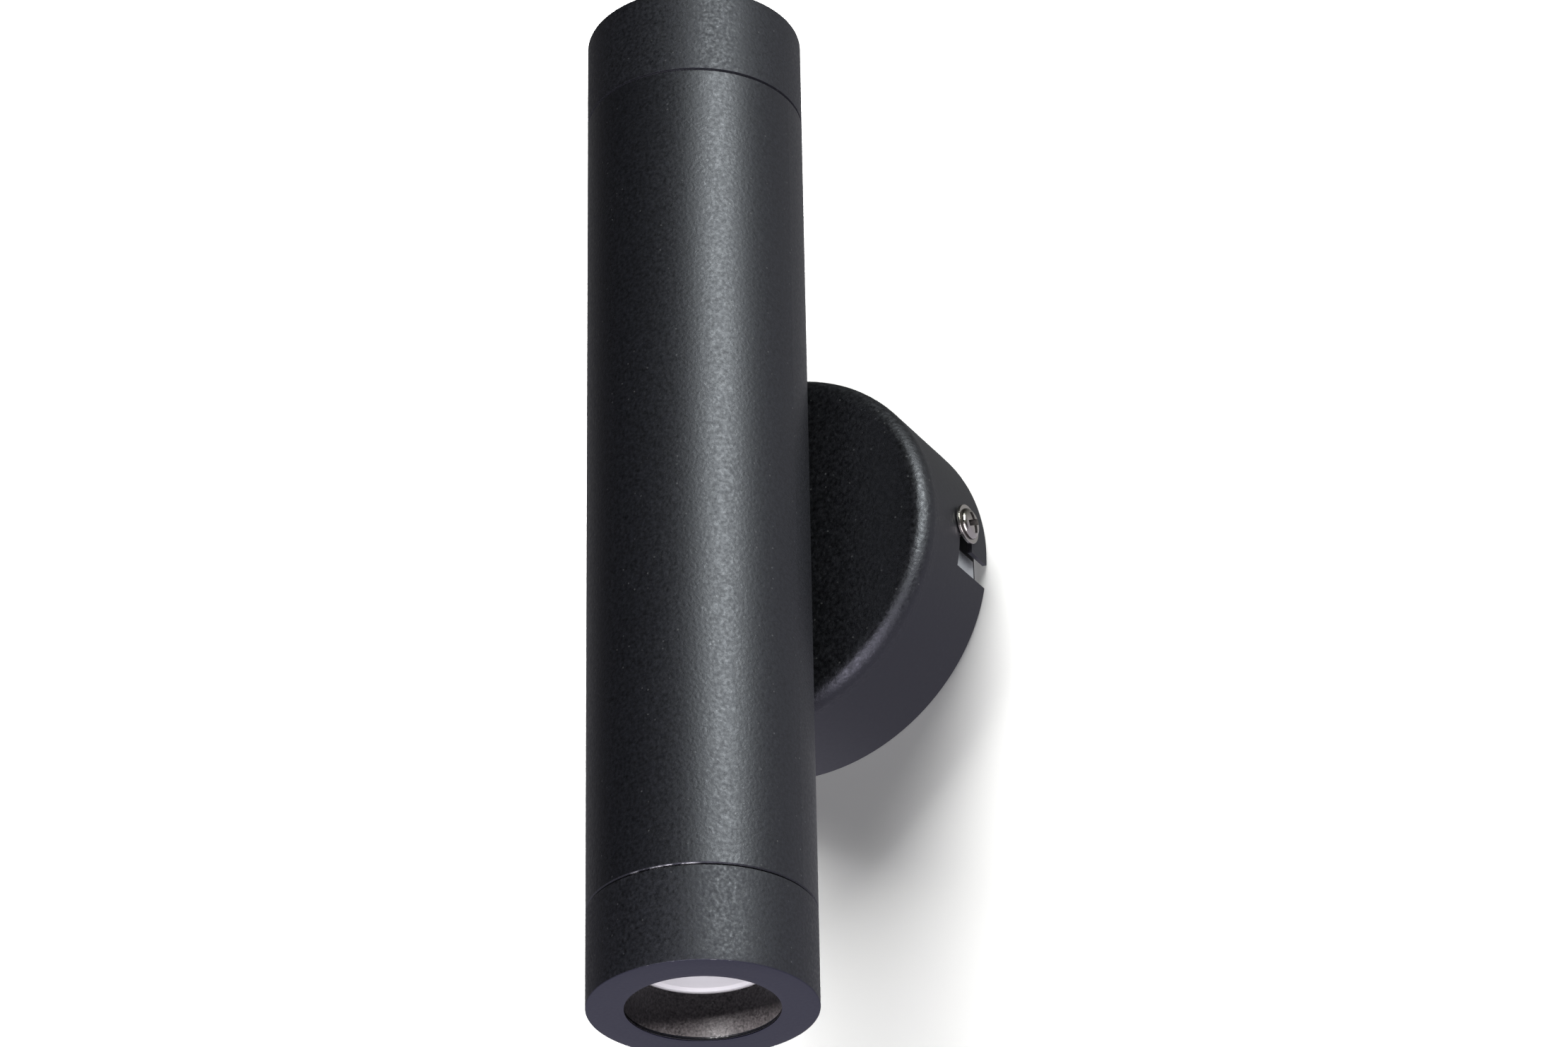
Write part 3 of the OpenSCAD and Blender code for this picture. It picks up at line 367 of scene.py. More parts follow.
tube_coat = finish_material("tube_coat", sand_coat, {
    "Colour": BLACK, "Grain Size": 0.84 * MM, "Mottle": 4.0, "Roughness": 0.5, "Gloss Spread": 0.14,
    "Flecks": 0.35}, 0.9, 0.105 * MM, IOR=1.5, Specular_Tint=COAT_SHEEN)
ring_coat = finish_material("ring_coat", sand_coat, {
    "Colour": BLACK, "Grain Size": 0.82 * MM, "Mottle": 5.0, "Roughness": 0.58, "Gloss Spread": 0.24,
    "Flecks": 0.3}, 0.9, 0.11 * MM, IOR=1.5, Specular_Tint=COAT_SHEEN)
canopy_coat = finish_material("canopy_coat", sand_coat, {
    "Colour": CANOPY_BLACK, "Grain Size": 0.95 * MM, "Mottle": 7.0, "Roughness": 0.52,
    "Gloss Spread": 0.24, "Flecks": 0.3, "Fleck Share": 0.4}, 0.9, 0.15 * MM, IOR=1.54,
    Specular_Tint=COAT_SHEEN)
print("coats:", tube_coat.name, ring_coat.name, canopy_coat.name)

# %% Bare metal
BARE = (0.72, 0.73, 0.74, 1)
WORN = (0.36, 0.36, 0.38, 1)
COAT_END = 0.1 * MM


def bare_metal(material, mask, colour, roughness):
    cover(material, mask, colour, roughness)
    steer(material, "Metallic", mask, 1.0)


def wear(material, **values):
    effect = add(material.node_tree, "ShaderNodeGroup", node_tree=worn_edge)
    for title, value in values.items():
        effect.inputs[title.replace("_", " ")].default_value = value
    bare_metal(material, effect.outputs["Mask"], WORN, 0.42)


def bare_spigot(material):
    """The threaded spigot was masked when the ring was coated."""
    tree = material.node_tree
    mask = ramp(tree, depth_from_end(tree), RING_H - COAT_END, RING_H + COAT_END)
    bare_metal(material, mask, BARE, 0.3)


wear(tube_coat, Level=tube_low.z + 0.09 * MM, Band=0.12 * MM, Facing=0.2, Spread=0.33,
     Break_Up=420.0, Coverage=0.5)
wear(ring_coat, Level=-HALF_L + 0.1 * MM, Band=0.07 * MM, Facing=0.4, Spread=0.45,
     Break_Up=900.0, Coverage=0.36)
bare_spigot(ring_coat)
print("spigots are bare from %.1f mm in" % (RING_H / MM))

# %% Even coat on faces and rims
# The end faces' colour: the coat's black with a painted bluish reflection
FACE_BLACK_PAINTED_SHEEN = (0.0028, 0.0028, 0.012, 1)
EVENNESS = 0.85
FACE_DEPTHS = (0.3 * MM, 0.05 * MM)
FRONT_DEPTHS = (0.2 * MM, 1.2 * MM)
RIM_DEPTHS = (4 * MM, 7 * MM)
LIP_WIDTHS = (0.06 * MM, 0.02 * MM)


def even_coat(material, mask, colour, roughness, grain):
    """Evens the coat under the mask, and leaves only a share of its grain there."""
    tree = material.node_tree
    cover(material, times(tree, mask, EVENNESS), colour, roughness)
    height = tree.nodes["Bump"].inputs["Height"]
    left_over = ramp(tree, mask, 0.0, 1.0, 1.0, grain)
    tree.links.new(times(tree, height.links[0].from_socket, left_over), height)


def flat_face(material):
    """The end faces were ground flat, so the coat lies even there, with hardly any grain. Their colour is
    bluer than the coat's: a painted bluish reflection.
    """
    tree = material.node_tree
    even_coat(material, ramp(tree, depth_from_end(tree), *FACE_DEPTHS), FACE_BLACK_PAINTED_SHEEN, 0.58, grain=0.08)


def canopy_shades(material):
    """The spray met the front squarely and lies glossier there; on the rim it is thin and even."""
    tree = material.node_tree
    behind_front = minus(tree, object_axes(tree)[1], CANOPY_FRONT)
    target = tree.nodes["Principled BSDF"].inputs["Roughness"]
    gloss = ramp(tree, behind_front, *FRONT_DEPTHS, 0.8, 1.0)
    tree.links.new(times(tree, target.links[0].from_socket, gloss), target)
    even_coat(material, ramp(tree, behind_front, *RIM_DEPTHS), CANOPY_BLACK, 0.5, grain=0.05)


def smooth_lip(material):
    """The inner edge of the light mouth is turned smooth, so it stays darker than the coat round it."""
    tree = material.node_tree
    x, y = object_axes(tree)[:2]
    across = minus(tree, y, AXIS_Y)
    off_axis = math_node(tree, "SQRT", plus(tree, times(tree, x, x), times(tree, across, across)))
    lip = ramp(tree, minus(tree, off_axis, MOUTH_R), *LIP_WIDTHS)
    steer(material, "Roughness", lip, 0.25)


flat_face(ring_coat)
canopy_shades(canopy_coat)
smooth_lip(ring_coat)
print("canopy front %.1f mm off the wall, its rim even" % (-CANOPY_FRONT / MM))

# %% [markdown]
# ### Metals, plastics, ceramic and glass
# The screws and the nipple are nickel-plated, the sheet parts inside are zinc-plated steel, and the
# contacts are brass. The lens is frosted plastic: a white body with some light scattered in it.

# %% Other finishes
EVEN_SCATTER = (1.0, 1.0, 1.0)
MATERIALS = {
    "black_powder_coat_aluminium": tube_coat,
    "black_powder_coat_steel": canopy_coat,
    "insert_black": finish_material("insert_black", sand_coat, {
        "Colour": (0.03, 0.0275, 0.028, 1), "Grain Size": 0.62 * MM, "Mottle": 3.5, "Roughness": 0.45,
        "Gloss Spread": 0.2, "Flecks": 0.6}, 0.9, 0.1 * MM, IOR=1.3),
}


def handled_finish(name, colour, roughness, clouds, specks, relief, **shader):
    """clouds and specks are (size in mm, strength), relief is the bump's (strength, depth in mm)."""
    MATERIALS[name] = finish_material(name, handled, {
        "Colour": colour, "Roughness": roughness, "Cloud Size": clouds[0] * MM,
        "Cloud Strength": clouds[1], "Speck Size": specks[0] * MM, "Speck Strength": specks[1]},
        relief[0], relief[1] * MM, **shader)


handled_finish("zinc_plated_steel", (0.58, 0.6, 0.63, 1), 0.4, clouds=(5, 0.16), specks=(0.5, 0.14),
               relief=(0.25, 0.02), Metallic=1.0)
handled_finish("nickel_plated_steel", (0.42, 0.395, 0.375, 1), 0.2, clouds=(3, 0.1),
               specks=(0.3, 0.06), relief=(0.12, 0.01), Metallic=1.0)
handled_finish("bare_brass", (0.66, 0.46, 0.18, 1), 0.28, clouds=(3, 0.2), specks=(0.3, 0.08),
               relief=(0.15, 0.01), Metallic=1.0)
handled_finish("holder_ceramic", (0.8, 0.775, 0.71, 1), 0.55, clouds=(8, 0.08), specks=(0.35, 0.1),
               relief=(0.3, 0.03))
handled_finish("white_plastic", (0.78, 0.78, 0.77, 1), 0.38, clouds=(9, 0.06), specks=(0.25, 0.04),
               relief=(0.12, 0.02), Subsurface_Weight=0.1, Subsurface_Scale=0.001,
               Subsurface_Radius=EVEN_SCATTER)
handled_finish("frosted_lens", (0.655, 0.65, 0.66, 1), 0.42, clouds=(7, 0.04), specks=(0.3, 0.03),
               relief=(0.1, 0.02), Subsurface_Weight=0.5, Subsurface_Scale=0.004,
               Subsurface_Radius=EVEN_SCATTER)
for name, colour in (("live_insulation", (0.17, 0.075, 0.03, 1)),
                     ("neutral_insulation", (0.02, 0.085, 0.34, 1)),
                     ("earth_insulation", (0.05, 0.3, 0.05, 1))):
    handled_finish(name, colour, 0.4, clouds=(4, 0.12), specks=(0.3, 0.05), relief=(0.15, 0.02))
print("finishes:", ", ".join(MATERIALS))

# %% [markdown]
# ### Marks and painted shade on single pieces
# The stripe of the earth wire, and painted shade in the recess of a screw, on the bracket's ears below
# the canopy's tongue and along their bend, and on the front edge of an insert under the ring's lip, differ
# from the rest of their piece, so a mask steers the finish there. Two of the masks are attributes that
# the meshes below carry, and two come from the place of the point.

# %% Marks
STRIPE_HALF = 0.185
# Where the painted shade lies on the bracket's ears, and the width over which it fades
EAR_X = 46 * MM
EAR_TONGUE_Z = -2.7 * MM
EAR_BEND_Y = -2.3 * MM
SHADE_FADE_WIDTH = 0.4 * MM
# width of the painted shade at the insert's front edge, under the ring's lip
LIP_SHADE_WIDTH = 0.4 * MM


def attribute(tree, name):
    return add(tree, "ShaderNodeAttribute", attribute_name=name).outputs["Fac"]


def striped(material, colour):
    """Earth insulation has a yellow stripe along the wire, over a part of its round."""
    tree = material.node_tree
    off = math_node(tree, "ABSOLUTE", minus(tree, attribute(tree, "round"), 0.5))
    steer(material, "Base Color", ramp(tree, off, STRIPE_HALF + 0.015, STRIPE_HALF), colour)


def shade_painted_recess(material, colour):
    """Painted shade in a screw's cross recess, dark and dull; the attribute says which faces lie in it."""
    cover(material, attribute(material.node_tree, "recess"), colour, 0.5)


def shade_painted_ears(material, colour):
    """Painted shade on the bracket's ears: dark below the canopy's tongue, where its shadow falls, and
    along their bend.
    """
    tree = material.node_tree
    x, y, z = object_axes(tree)
    height = times(tree, z, math_node(tree, "SIGN", x))
    dark = math_node(tree, "MAXIMUM", ramp(tree, height, EAR_TONGUE_Z - SHADE_FADE_WIDTH, EAR_TONGUE_Z),
                     ramp(tree, y, EAR_BEND_Y - SHADE_FADE_WIDTH, EAR_BEND_Y))
    on_ear = ramp(tree, math_node(tree, "ABSOLUTE", x), EAR_X, EAR_X + 0.2 * MM)
    cover(material, times(tree, dark, on_ear), colour, 0.6)


def shade_painted_insert_front(material):
    """Painted shade on the front edge of an insert, under the ring's lip: black and smooth, a dark line
    round the mouth.
    """
    tree = material.node_tree
    end = INSERT_FRONT + LIP_SHADE_WIDTH
    cover(material, ramp(tree, depth_from_end(tree), end + 0.1 * MM, end), BLACK, 0.25)


striped(MATERIALS["earth_insulation"], (0.75, 0.6, 0.03, 1))
# painted shade in the screw's cross recess
shade_painted_recess(MATERIALS["nickel_plated_steel"], (0.05, 0.046, 0.044, 1))
# painted shade on the bracket's ears below the tongue and along the bend
shade_painted_ears(MATERIALS["zinc_plated_steel"], (0.02, 0.02, 0.024, 1))
# painted shade on the insert's front edge under the ring's lip
shade_painted_insert_front(MATERIALS["insert_black"])
print("insert fronts %.2f mm in from the end faces" % (INSERT_FRONT / MM))

# %% Dress the CAD nodes
slot_of = {part["node"]: part["material_slot"] for part in frame["record"]["subparts"]}


def dress(obj, material):
    obj.data.materials.clear()
    obj.data.materials.append(material)


for title, node in frame["nodes"].items():
    dress(node, MATERIALS[slot_of[title]])
print(len(MATERIALS), "finishes on", len(frame["nodes"]), "nodes")

# %% [markdown]
# ## Turned pieces
# Rings, screws and the nipple are turned on a lathe, so a half section swept round an axis makes them.
# The helper gives a closed mesh from a closed section; the section is cut finely where a thread comes.

# %% Lathe helpers
def mesh_from(name, mesh):
    """Turns the faces of a bmesh outwards and makes mesh data of it."""
    bmesh.ops.recalc_face_normals(mesh, faces=mesh.faces)
    data = bpy.data.meshes.new(name)
    mesh.to_mesh(data)
    mesh.free()
    return data


def turned_mesh(name, section, steps=180):
    """Mesh swept about Z from a closed section of (radius, height) points, given counter-clockwise."""
    mesh = bmesh.new()
    rows = []
    for radius, height in section:
        if radius < 1e-7:
            rows.append([mesh.verts.new((0, 0, height))] * steps)
        else:
            rows.append([mesh.verts.new((radius * math.cos(math.tau * k / steps),
                                         radius * math.sin(math.tau * k / steps), height))
                         for k in range(steps)])
    for low, high in zip(rows, rows[1:] + rows[:1]):
        for k in range(steps):
            after = (k + 1) % steps
            corners = []
            for vert in (low[k], low[after], high[after], high[k]):
                if vert not in corners:
                    corners.append(vert)
            if len(corners) > 2:
                mesh.faces.new(corners)
    return mesh_from(name, mesh)


def fine_steps(start, stop, step):
    """Evenly spaced values from start to stop, both included, at most step apart."""
    count = max(1, math.ceil(abs(stop - start) / step))
    return [start + (stop - start) * k / count for k in range(count + 1)]


def place(name, data):
    obj = bpy.data.objects.new(name, data)
    bpy.context.scene.collection.objects.link(obj)
    return obj


# %% [markdown]
# ## Thread by rule
# A thread follows a rule: the cut at a point depends only on its angle and its height. A Geometry
# Nodes tree moves the points of a turned mesh in or out by that rule. The ring and the tube use the
# same pitch and phase, so that they stay in mesh while the ring unscrews.

# %% Geometry Nodes helpers
def geometry_tree(name, inputs):
    tree = bpy.data.node_groups.new(name, "GeometryNodeTree")
    tree.interface.new_socket("Geometry", in_out="OUTPUT", socket_type="NodeSocketGeometry")
    tree.interface.new_socket("Geometry", in_out="INPUT", socket_type="NodeSocketGeometry")
    for title, kind, default in inputs:
        socket = tree.interface.new_socket(title, in_out="INPUT", socket_type="NodeSocket" + kind)
        if default is not None:
            socket.default_value = default
    return tree, tree.nodes.new("NodeGroupInput"), tree.nodes.new("NodeGroupOutput")


def close_tree(tree, given, out, geometry):
    """Realize Instances and Set Material end each tree."""
    real = add(tree, "GeometryNodeRealizeInstances", {0: geometry})
    painted = add(tree, "GeometryNodeSetMaterial", {"Geometry": real.outputs[0],
                                                    "Material": given.outputs["Material"]})
    tree.links.new(painted.outputs[0], out.inputs[0])


def plain_mesh(obj):
    """Puts what the modifiers make in the object's place, as a plain mesh."""
    depsgraph = bpy.context.evaluated_depsgraph_get()
    result = bpy.data.meshes.new_from_object(obj.evaluated_get(depsgraph))
    name = obj.name
    bpy.data.objects.remove(obj)
    return place(name, result)


def run_tree(obj, tree, values):
    """Gives obj the tree's result. Inputs are set by their socket's identifier."""
    modifier = obj.modifiers.new(tree.name, "NODES")
    modifier.node_group = tree
    sockets = {item.name: item.identifier for item in tree.interface.items_tree
               if item.in_out == "INPUT"}
    for title, value in values.items():
        modifier[sockets[title]] = value
    return plain_mesh(obj)


# %% Thread tree
ON_CREST = 0.004 * MM


def thread_tree():
    tree, given, out = geometry_tree("cut_thread", [
        ("Crest Radius", "Float", 0.01), ("Pitch", "Float", 0.001), ("Depth", "Float", 0.0004),
        ("Width", "Float", 0.75), ("From", "Float", 0.0), ("To", "Float", 0.01),
        ("Fade", "Float", 0.001), ("Phase", "Float", 0.0), ("Material", "Material", None)])
    values = given.outputs
    point = add(tree, "GeometryNodeInputPosition").outputs[0]
    x, y, z = add(tree, "ShaderNodeSeparateXYZ", {0: point}).outputs
    flat = add(tree, "ShaderNodeCombineXYZ", {0: x, 1: y}).outputs[0]
    radius = add(tree, "ShaderNodeVectorMath", {0: flat}, operation="LENGTH").outputs["Value"]
    outward = add(tree, "ShaderNodeVectorMath", {0: flat}, operation="NORMALIZE").outputs[0]
    angle = math_node(tree, "ARCTAN2", y, x)
    turns = minus(tree, over(tree, z, values["Pitch"]), over(tree, angle, math.tau))
    turns = plus(tree, turns, values["Phase"])
    saw = times(tree, math_node(tree, "FRACT", turns), 2.0)
    wave = math_node(tree, "ABSOLUTE", minus(tree, saw, 1.0))
    cut = over(tree, minus(tree, values["Width"], wave), 0.5, clamp=True)
    to_ends = math_node(tree, "MINIMUM", minus(tree, z, values["From"]), minus(tree, values["To"], z))
    fade = over(tree, to_ends, values["Fade"], clamp=True)
    move = times(tree, cut, fade, values["Depth"], -1.0)
    offset = add(tree, "ShaderNodeVectorMath", {0: outward, "Scale": move}, operation="SCALE").outputs[0]
    off_crest = math_node(tree, "ABSOLUTE", minus(tree, radius, values["Crest Radius"]))
    moved = add(tree, "GeometryNodeSetPosition", {
        "Geometry": values["Geometry"], "Offset": offset,
        "Selection": math_node(tree, "LESS_THAN", off_crest, ON_CREST)})
    close_tree(tree, given, out, moved.outputs[0])
    return tree


cut_thread = thread_tree()
print(cut_thread.name, "tree of", len(cut_thread.nodes), "nodes")

# %% [markdown]
# ## End rings
# Each ring is one turned piece: an end wall with the light mouth, a skirt, and a threaded spigot. The
# spigot's thread shows when the ring is unscrewed to change the lamp. The CAD rings are replaced by
# the same section with rounded edges and the thread cut in. A narrow groove next to the tube makes the
# dark line of the seam.

# %% Ring section
SPIGOT_R = 26.45 * MM
SPIGOT_CHAMFER = 0.4 * MM
RING_BORE_R = 25.3 * MM
LEDGE_R = 20.6 * MM
LIP_T = 2 * MM
LIP_EDGE_T = 0.6 * MM
SEAM_GROOVE = 0.4 * MM
SEAM_GROOVE_DEPTH = 0.7 * MM
RUNOUT = 0.4 * MM
RUNOUT_H = 1.2 * MM
THREAD_START = RING_H + RUNOUT_H + RUNOUT
THREAD_STEP = 0.12 * MM


def rounded(corner_a, corner_b, centre, count=4):
    """Points of the quarter circle from corner_a to corner_b about centre."""
    a = math.atan2(corner_a[1] - centre[1], corner_a[0] - centre[0])
    b = math.atan2(corner_b[1] - centre[1], corner_b[0] - centre[0])
    b += math.tau * round((a - b) / math.tau)
    r = math.hypot(corner_a[0] - centre[0], corner_a[1] - centre[1])
    return [(centre[0] + r * math.cos(a + (b - a) * k / count),
             centre[1] + r * math.sin(a + (b - a) * k / count)) for k in range(count + 1)]


def ring_section():
    edge = 0.25 * MM
    soft = 0.06 * MM
    groove = RING_H - SEAM_GROOVE
    groove_r = TUBE_R - SEAM_GROOVE_DEPTH
    section = rounded((MOUTH_R, soft), (MOUTH_R + soft, 0), (MOUTH_R + soft, soft))
    section += [(r, 0) for r in (LEDGE_R, 24 * MM)]
    section += rounded((TUBE_R - edge, 0), (TUBE_R, edge), (TUBE_R - edge, edge))
    section += [(TUBE_R, h * MM) for h in range(3, 24, 5)]
    section += rounded((TUBE_R, groove - soft), (TUBE_R - soft, groove), (TUBE_R - soft, groove - soft))
    section += [(groove_r, groove), (groove_r, RING_H)]
    section += [(SPIGOT_R - RUNOUT, RING_H), (SPIGOT_R - RUNOUT, RING_H + RUNOUT_H)]
    section += [(SPIGOT_R, h) for h in fine_steps(THREAD_START, SPIGOT_END - SPIGOT_CHAMFER, THREAD_STEP)]
    section += [(SPIGOT_R - SPIGOT_CHAMFER, SPIGOT_END), (RING_BORE_R, SPIGOT_END)]
    section += [(RING_BORE_R, h) for h in (20 * MM, 8 * MM, LIP_T)]
    section += [(LEDGE_R, LIP_T), (LEDGE_R, LIP_EDGE_T), (MOUTH_R, LIP_EDGE_T)]
    return section


# %% End rings
ENDS = ((-1, "lower"), (1, "upper"))
THREAD_LEAD = 0.2 * MM


def end_piece(name, section, side, start, stop, values):
    """A turned piece at the lower (side -1) or upper (side 1) end, threaded from start to stop."""
    heights = [(r, side * (HALF_L - depth)) for r, depth in section]
    low, high = sorted(side * (HALF_L - depth) for depth in (start, stop))
    obj = run_tree(place(name, turned_mesh(name, heights)), cut_thread, {
        "Pitch": THREAD_PITCH, "From": low, "To": high, "Material": ring_coat, **values})
    obj.data.transform(Matrix.Translation((0, AXIS_Y, 0)))
    obj.data.shade_smooth()
    return obj


for side, end in ENDS:
    ring = end_piece(end + "_ring_threaded", ring_section(), side, THREAD_START - THREAD_LEAD,
                     SPIGOT_END - THREAD_LEAD,
                     {"Crest Radius": SPIGOT_R, "Depth": 0.45 * MM, "Width": 0.75, "Fade": 0.9 * MM})
    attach(ring, end + "_end_ring")
    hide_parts(end + "_ring")
    print(ring.name, len(ring.data.polygons), "faces")

# %% [markdown]
# ## Tapped ends of the tube
# The tube is tapped at both ends, and the tap shows when a ring is off. A thin sleeve in the wall of the
# tube carries the ridges. They are narrower than the ring's grooves, so nothing rubs.

# %% Tapped ends
TUBE_BORE_R = 26.5 * MM
TAP_R = TUBE_BORE_R - 0.01 * MM
TAP_WALL = 0.4 * MM
TAP_START = RING_H + 0.45 * MM

for side, end in ENDS:
    section = [(TAP_R, h) for h in fine_steps(TAP_START, SPIGOT_END, THREAD_STEP)]
    section += [(TAP_R + TAP_WALL, SPIGOT_END), (TAP_R + TAP_WALL, TAP_START)]
    tap = end_piece(end + "_tap", section, side, TAP_START, SPIGOT_END,
                    {"Crest Radius": TAP_R, "Depth": 0.35 * MM, "Width": 0.66, "Fade": 0.8 * MM})
    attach(tap, "fixture")
    print(tap.name, len(tap.data.polygons), "faces")

# %% [markdown]
# ## Side screws
# Two short screws clamp the canopy to the bracket's ears. Each has a washer face, a low domed head and a
# deep cross recess. The blank is turned, the thread is cut by the same rule as the rings', a tapered
# cross is taken out of the head, and a small tree of nodes sets the finished screw at both places. An
# attribute marks the faces in the recess.

# %% Side screw blank
SCREW_R = 2.45 * MM
SCREW_L = 9 * MM
FLANGE_R = 5.2 * MM
FLANGE_T = 0.8 * MM
PAN_R = 4.1 * MM
PAN_H = 1.7 * MM
PAN_SIDE = 0.8
PAN_TOP = 0.9
DOME_STEPS = 10


def screw_section():
    """The dome is a quarter circle whose two powers make it fuller than a ball."""
    soft = 0.15 * MM
    section = [(0, -SCREW_L), (SCREW_R - 0.5 * MM, -SCREW_L)]
    section += [(SCREW_R, h) for h in fine_steps(0.5 * MM - SCREW_L, -0.3 * MM, 0.08 * MM)]
    section += [(SCREW_R, 0)]
    section += rounded((FLANGE_R - soft, 0), (FLANGE_R, soft), (FLANGE_R - soft, soft))
    section += rounded((FLANGE_R, FLANGE_T - soft), (FLANGE_R - soft, FLANGE_T),
                       (FLANGE_R - soft, FLANGE_T - soft))
    for step in range(DOME_STEPS):
        turn = math.radians(90 * step / DOME_STEPS)
        section.append((PAN_R * math.cos(turn) ** PAN_SIDE, FLANGE_T + PAN_H * math.sin(turn) ** PAN_TOP))
    return section + [(0, FLANGE_T + PAN_H)]


screw = place("screw_blank", turned_mesh("screw_blank", screw_section(), steps=72))
screw = run_tree(screw, cut_thread, {
    "Crest Radius": SCREW_R, "Pitch": 0.8 * MM, "Depth": 0.4 * MM, "Width": 0.8,
    "From": 0.4 * MM - SCREW_L, "To": -0.6 * MM, "Fade": 0.5 * MM,
    "Material": MATERIALS["nickel_plated_steel"]})
print("screw blank", len(screw.data.polygons), "faces")

# %% Cross recess
CROSS_DEPTH = 2 * MM
CROSS_REACH_TOP, CROSS_HALF_TOP = 3.3 * MM, 0.85 * MM
CROSS_REACH_FOOT, CROSS_HALF_FOOT = 1.7 * MM, 0.55 * MM
QUARTERS = ((1, 0), (0, 1), (-1, 0), (0, -1))


def cross_cutter(name, top):
    """A cross that tapers downwards from its top to a point."""
    mesh = bmesh.new()
    foot = top - CROSS_DEPTH
    rings = []
    for height, reach, half in ((top + 0.5 * MM, CROSS_REACH_TOP, CROSS_HALF_TOP),
                                (foot, CROSS_REACH_FOOT, CROSS_HALF_FOOT)):
        outline = [(reach, -half), (reach, half), (half, half)]
        rings.append([mesh.verts.new((c * x - s * y, s * x + c * y, height))
                      for c, s in QUARTERS for x, y in outline])
    tip = mesh.verts.new((0, 0, foot - CROSS_REACH_FOOT))
    count = len(rings[0])
    mesh.faces.new(rings[0])
    for k in range(count):
        after = (k + 1) % count
        mesh.faces.new((rings[0][k], rings[1][k], rings[1][after], rings[0][after]))
        mesh.faces.new((rings[1][k], tip, rings[1][after]))
    return place(name, mesh_from(name, mesh))


def cut_from(obj, cutter):
    """Takes the cutter's shape out of obj."""
    modifier = obj.modifiers.new("cut", "BOOLEAN")
    modifier.operation, modifier.solver, modifier.object = "DIFFERENCE", "EXACT", cutter
    obj = plain_mesh(obj)
    bpy.data.objects.remove(cutter)
    return obj


def dome_height(radius):
    """Height of the screw's dome at a radius, as screw_section() gives it."""
    cosine = min(radius / PAN_R, 1) ** (1 / PAN_SIDE)
    return FLANGE_T + PAN_H * math.sqrt(1 - cosine ** 2) ** PAN_TOP


screw = cut_from(screw, cross_cutter("cross", FLANGE_T + PAN_H))
marks = screw.data.attributes.new("recess", "FLOAT", "FACE")
for face, mark in zip(screw.data.polygons, marks.data):
    radius = math.hypot(face.center.x, face.center.y)
    mark.value = float(FLANGE_T < face.center.z < dome_height(radius) - 0.05 * MM)
print("screw", len(screw.data.polygons), "faces, %d in the recess" % sum(m.value for m in marks.data))

# %% Side screws in place
SCREW_GAP = 0.25 * MM
SCREW_BACK = -11.25 * MM
SCREW_RISE = 3 * MM
SCREW_TURN = math.radians(28)


def screw_pair_tree():
    tree, given, out = geometry_tree("screw_pair", [
        ("Reach", "Float", 0.05), ("Back", "Float", -0.01), ("Rise", "Float", 0.003),
        ("Turn", "Float", 0.0), ("Material", "Material", None)])
    values = given.outputs
    right_spot, left_spot = [
        add(tree, "ShaderNodeCombineXYZ", {0: times(tree, values["Reach"], side), 1: values["Back"],
                                           2: times(tree, values["Rise"], side)}).outputs[0]
        for side in (1.0, -1.0)]
    spots = add(tree, "GeometryNodeMeshLine", {"Count": 2, "Start Location": right_spot,
                                               "Offset": left_spot}, mode="END_POINTS")
    point = add(tree, "GeometryNodeInputPosition").outputs[0]
    sideways = add(tree, "ShaderNodeVectorMath", {0: point, 1: (1.0, 0.0, 0.0)}, operation="MULTIPLY")
    turn = add(tree, "ShaderNodeCombineXYZ", {2: values["Turn"]})
    spin = add(tree, "FunctionNodeEulerToRotation", {0: turn.outputs[0]})
    aim = add(tree, "FunctionNodeAlignRotationToVector", {
        "Rotation": spin.outputs[0], "Vector": sideways.outputs[0]}, axis="Z")
    copies = add(tree, "GeometryNodeInstanceOnPoints", {
        "Points": spots.outputs[0], "Instance": values["Geometry"], "Rotation": aim.outputs[0]})
    close_tree(tree, given, out, copies.outputs[0])
    return tree


screw.name = "side_screw_pair"
side_screws = run_tree(screw, screw_pair_tree(), {
    "Reach": CANOPY_R + SCREW_GAP, "Back": SCREW_BACK, "Rise": SCREW_RISE, "Turn": SCREW_TURN,
    "Material": MATERIALS["nickel_plated_steel"]})
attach(side_screws, "bracket")
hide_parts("side_screws")
print(side_screws.name, len(side_screws.data.polygons), "faces")

# %% [markdown]
# ## Threaded nipple
# A hollow threaded tube joins the lamp's tube to the canopy and lets the wires through. Its end shows
# from behind, in the middle of the canopy nut.

# %% Threaded nipple
NIPPLE_R = 5 * MM
NIPPLE_BORE_R = 4 * MM
NIPPLE_BEVEL = 0.4 * MM

front, back = [corner.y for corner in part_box("nipple")]
length = back - front
section = [(NIPPLE_BORE_R, 0), (NIPPLE_R - NIPPLE_BEVEL, 0)]
section += [(NIPPLE_R, h) for h in fine_steps(NIPPLE_BEVEL, length - NIPPLE_BEVEL, 0.1 * MM)]
section += [(NIPPLE_R - NIPPLE_BEVEL, length), (NIPPLE_BORE_R, length)]
nipple = place("nipple_threaded", turned_mesh("nipple_threaded", section, steps=96))
nipple = run_tree(nipple, cut_thread, {
    "Crest Radius": NIPPLE_R, "Pitch": 1 * MM, "Depth": 0.45 * MM, "Width": 0.8, "From": 0.2 * MM,
    "To": length - 0.2 * MM, "Fade": 0.5 * MM, "Material": MATERIALS["nickel_plated_steel"]})
nipple.data.transform(Matrix.Translation((0, front, 0)) @ Matrix.Rotation(-math.pi / 2, 4, "X"))
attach(nipple, "fixture")
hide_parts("nipple")
print(nipple.name, "%.1f mm long" % (length / MM))

# %% [markdown]
# ## Wires
# Two wires run from each lampholder through the nipple to the terminal block, and an earth wire joins
# the block to the ring tag. The CAD wires are plain strings of cylinders. Here each route is softened
# into an even line, and a tree of nodes sweeps the insulation along it.

# %% Wire tree
WIRE_D = 1.8 * MM
WIRE_SIDES = 16


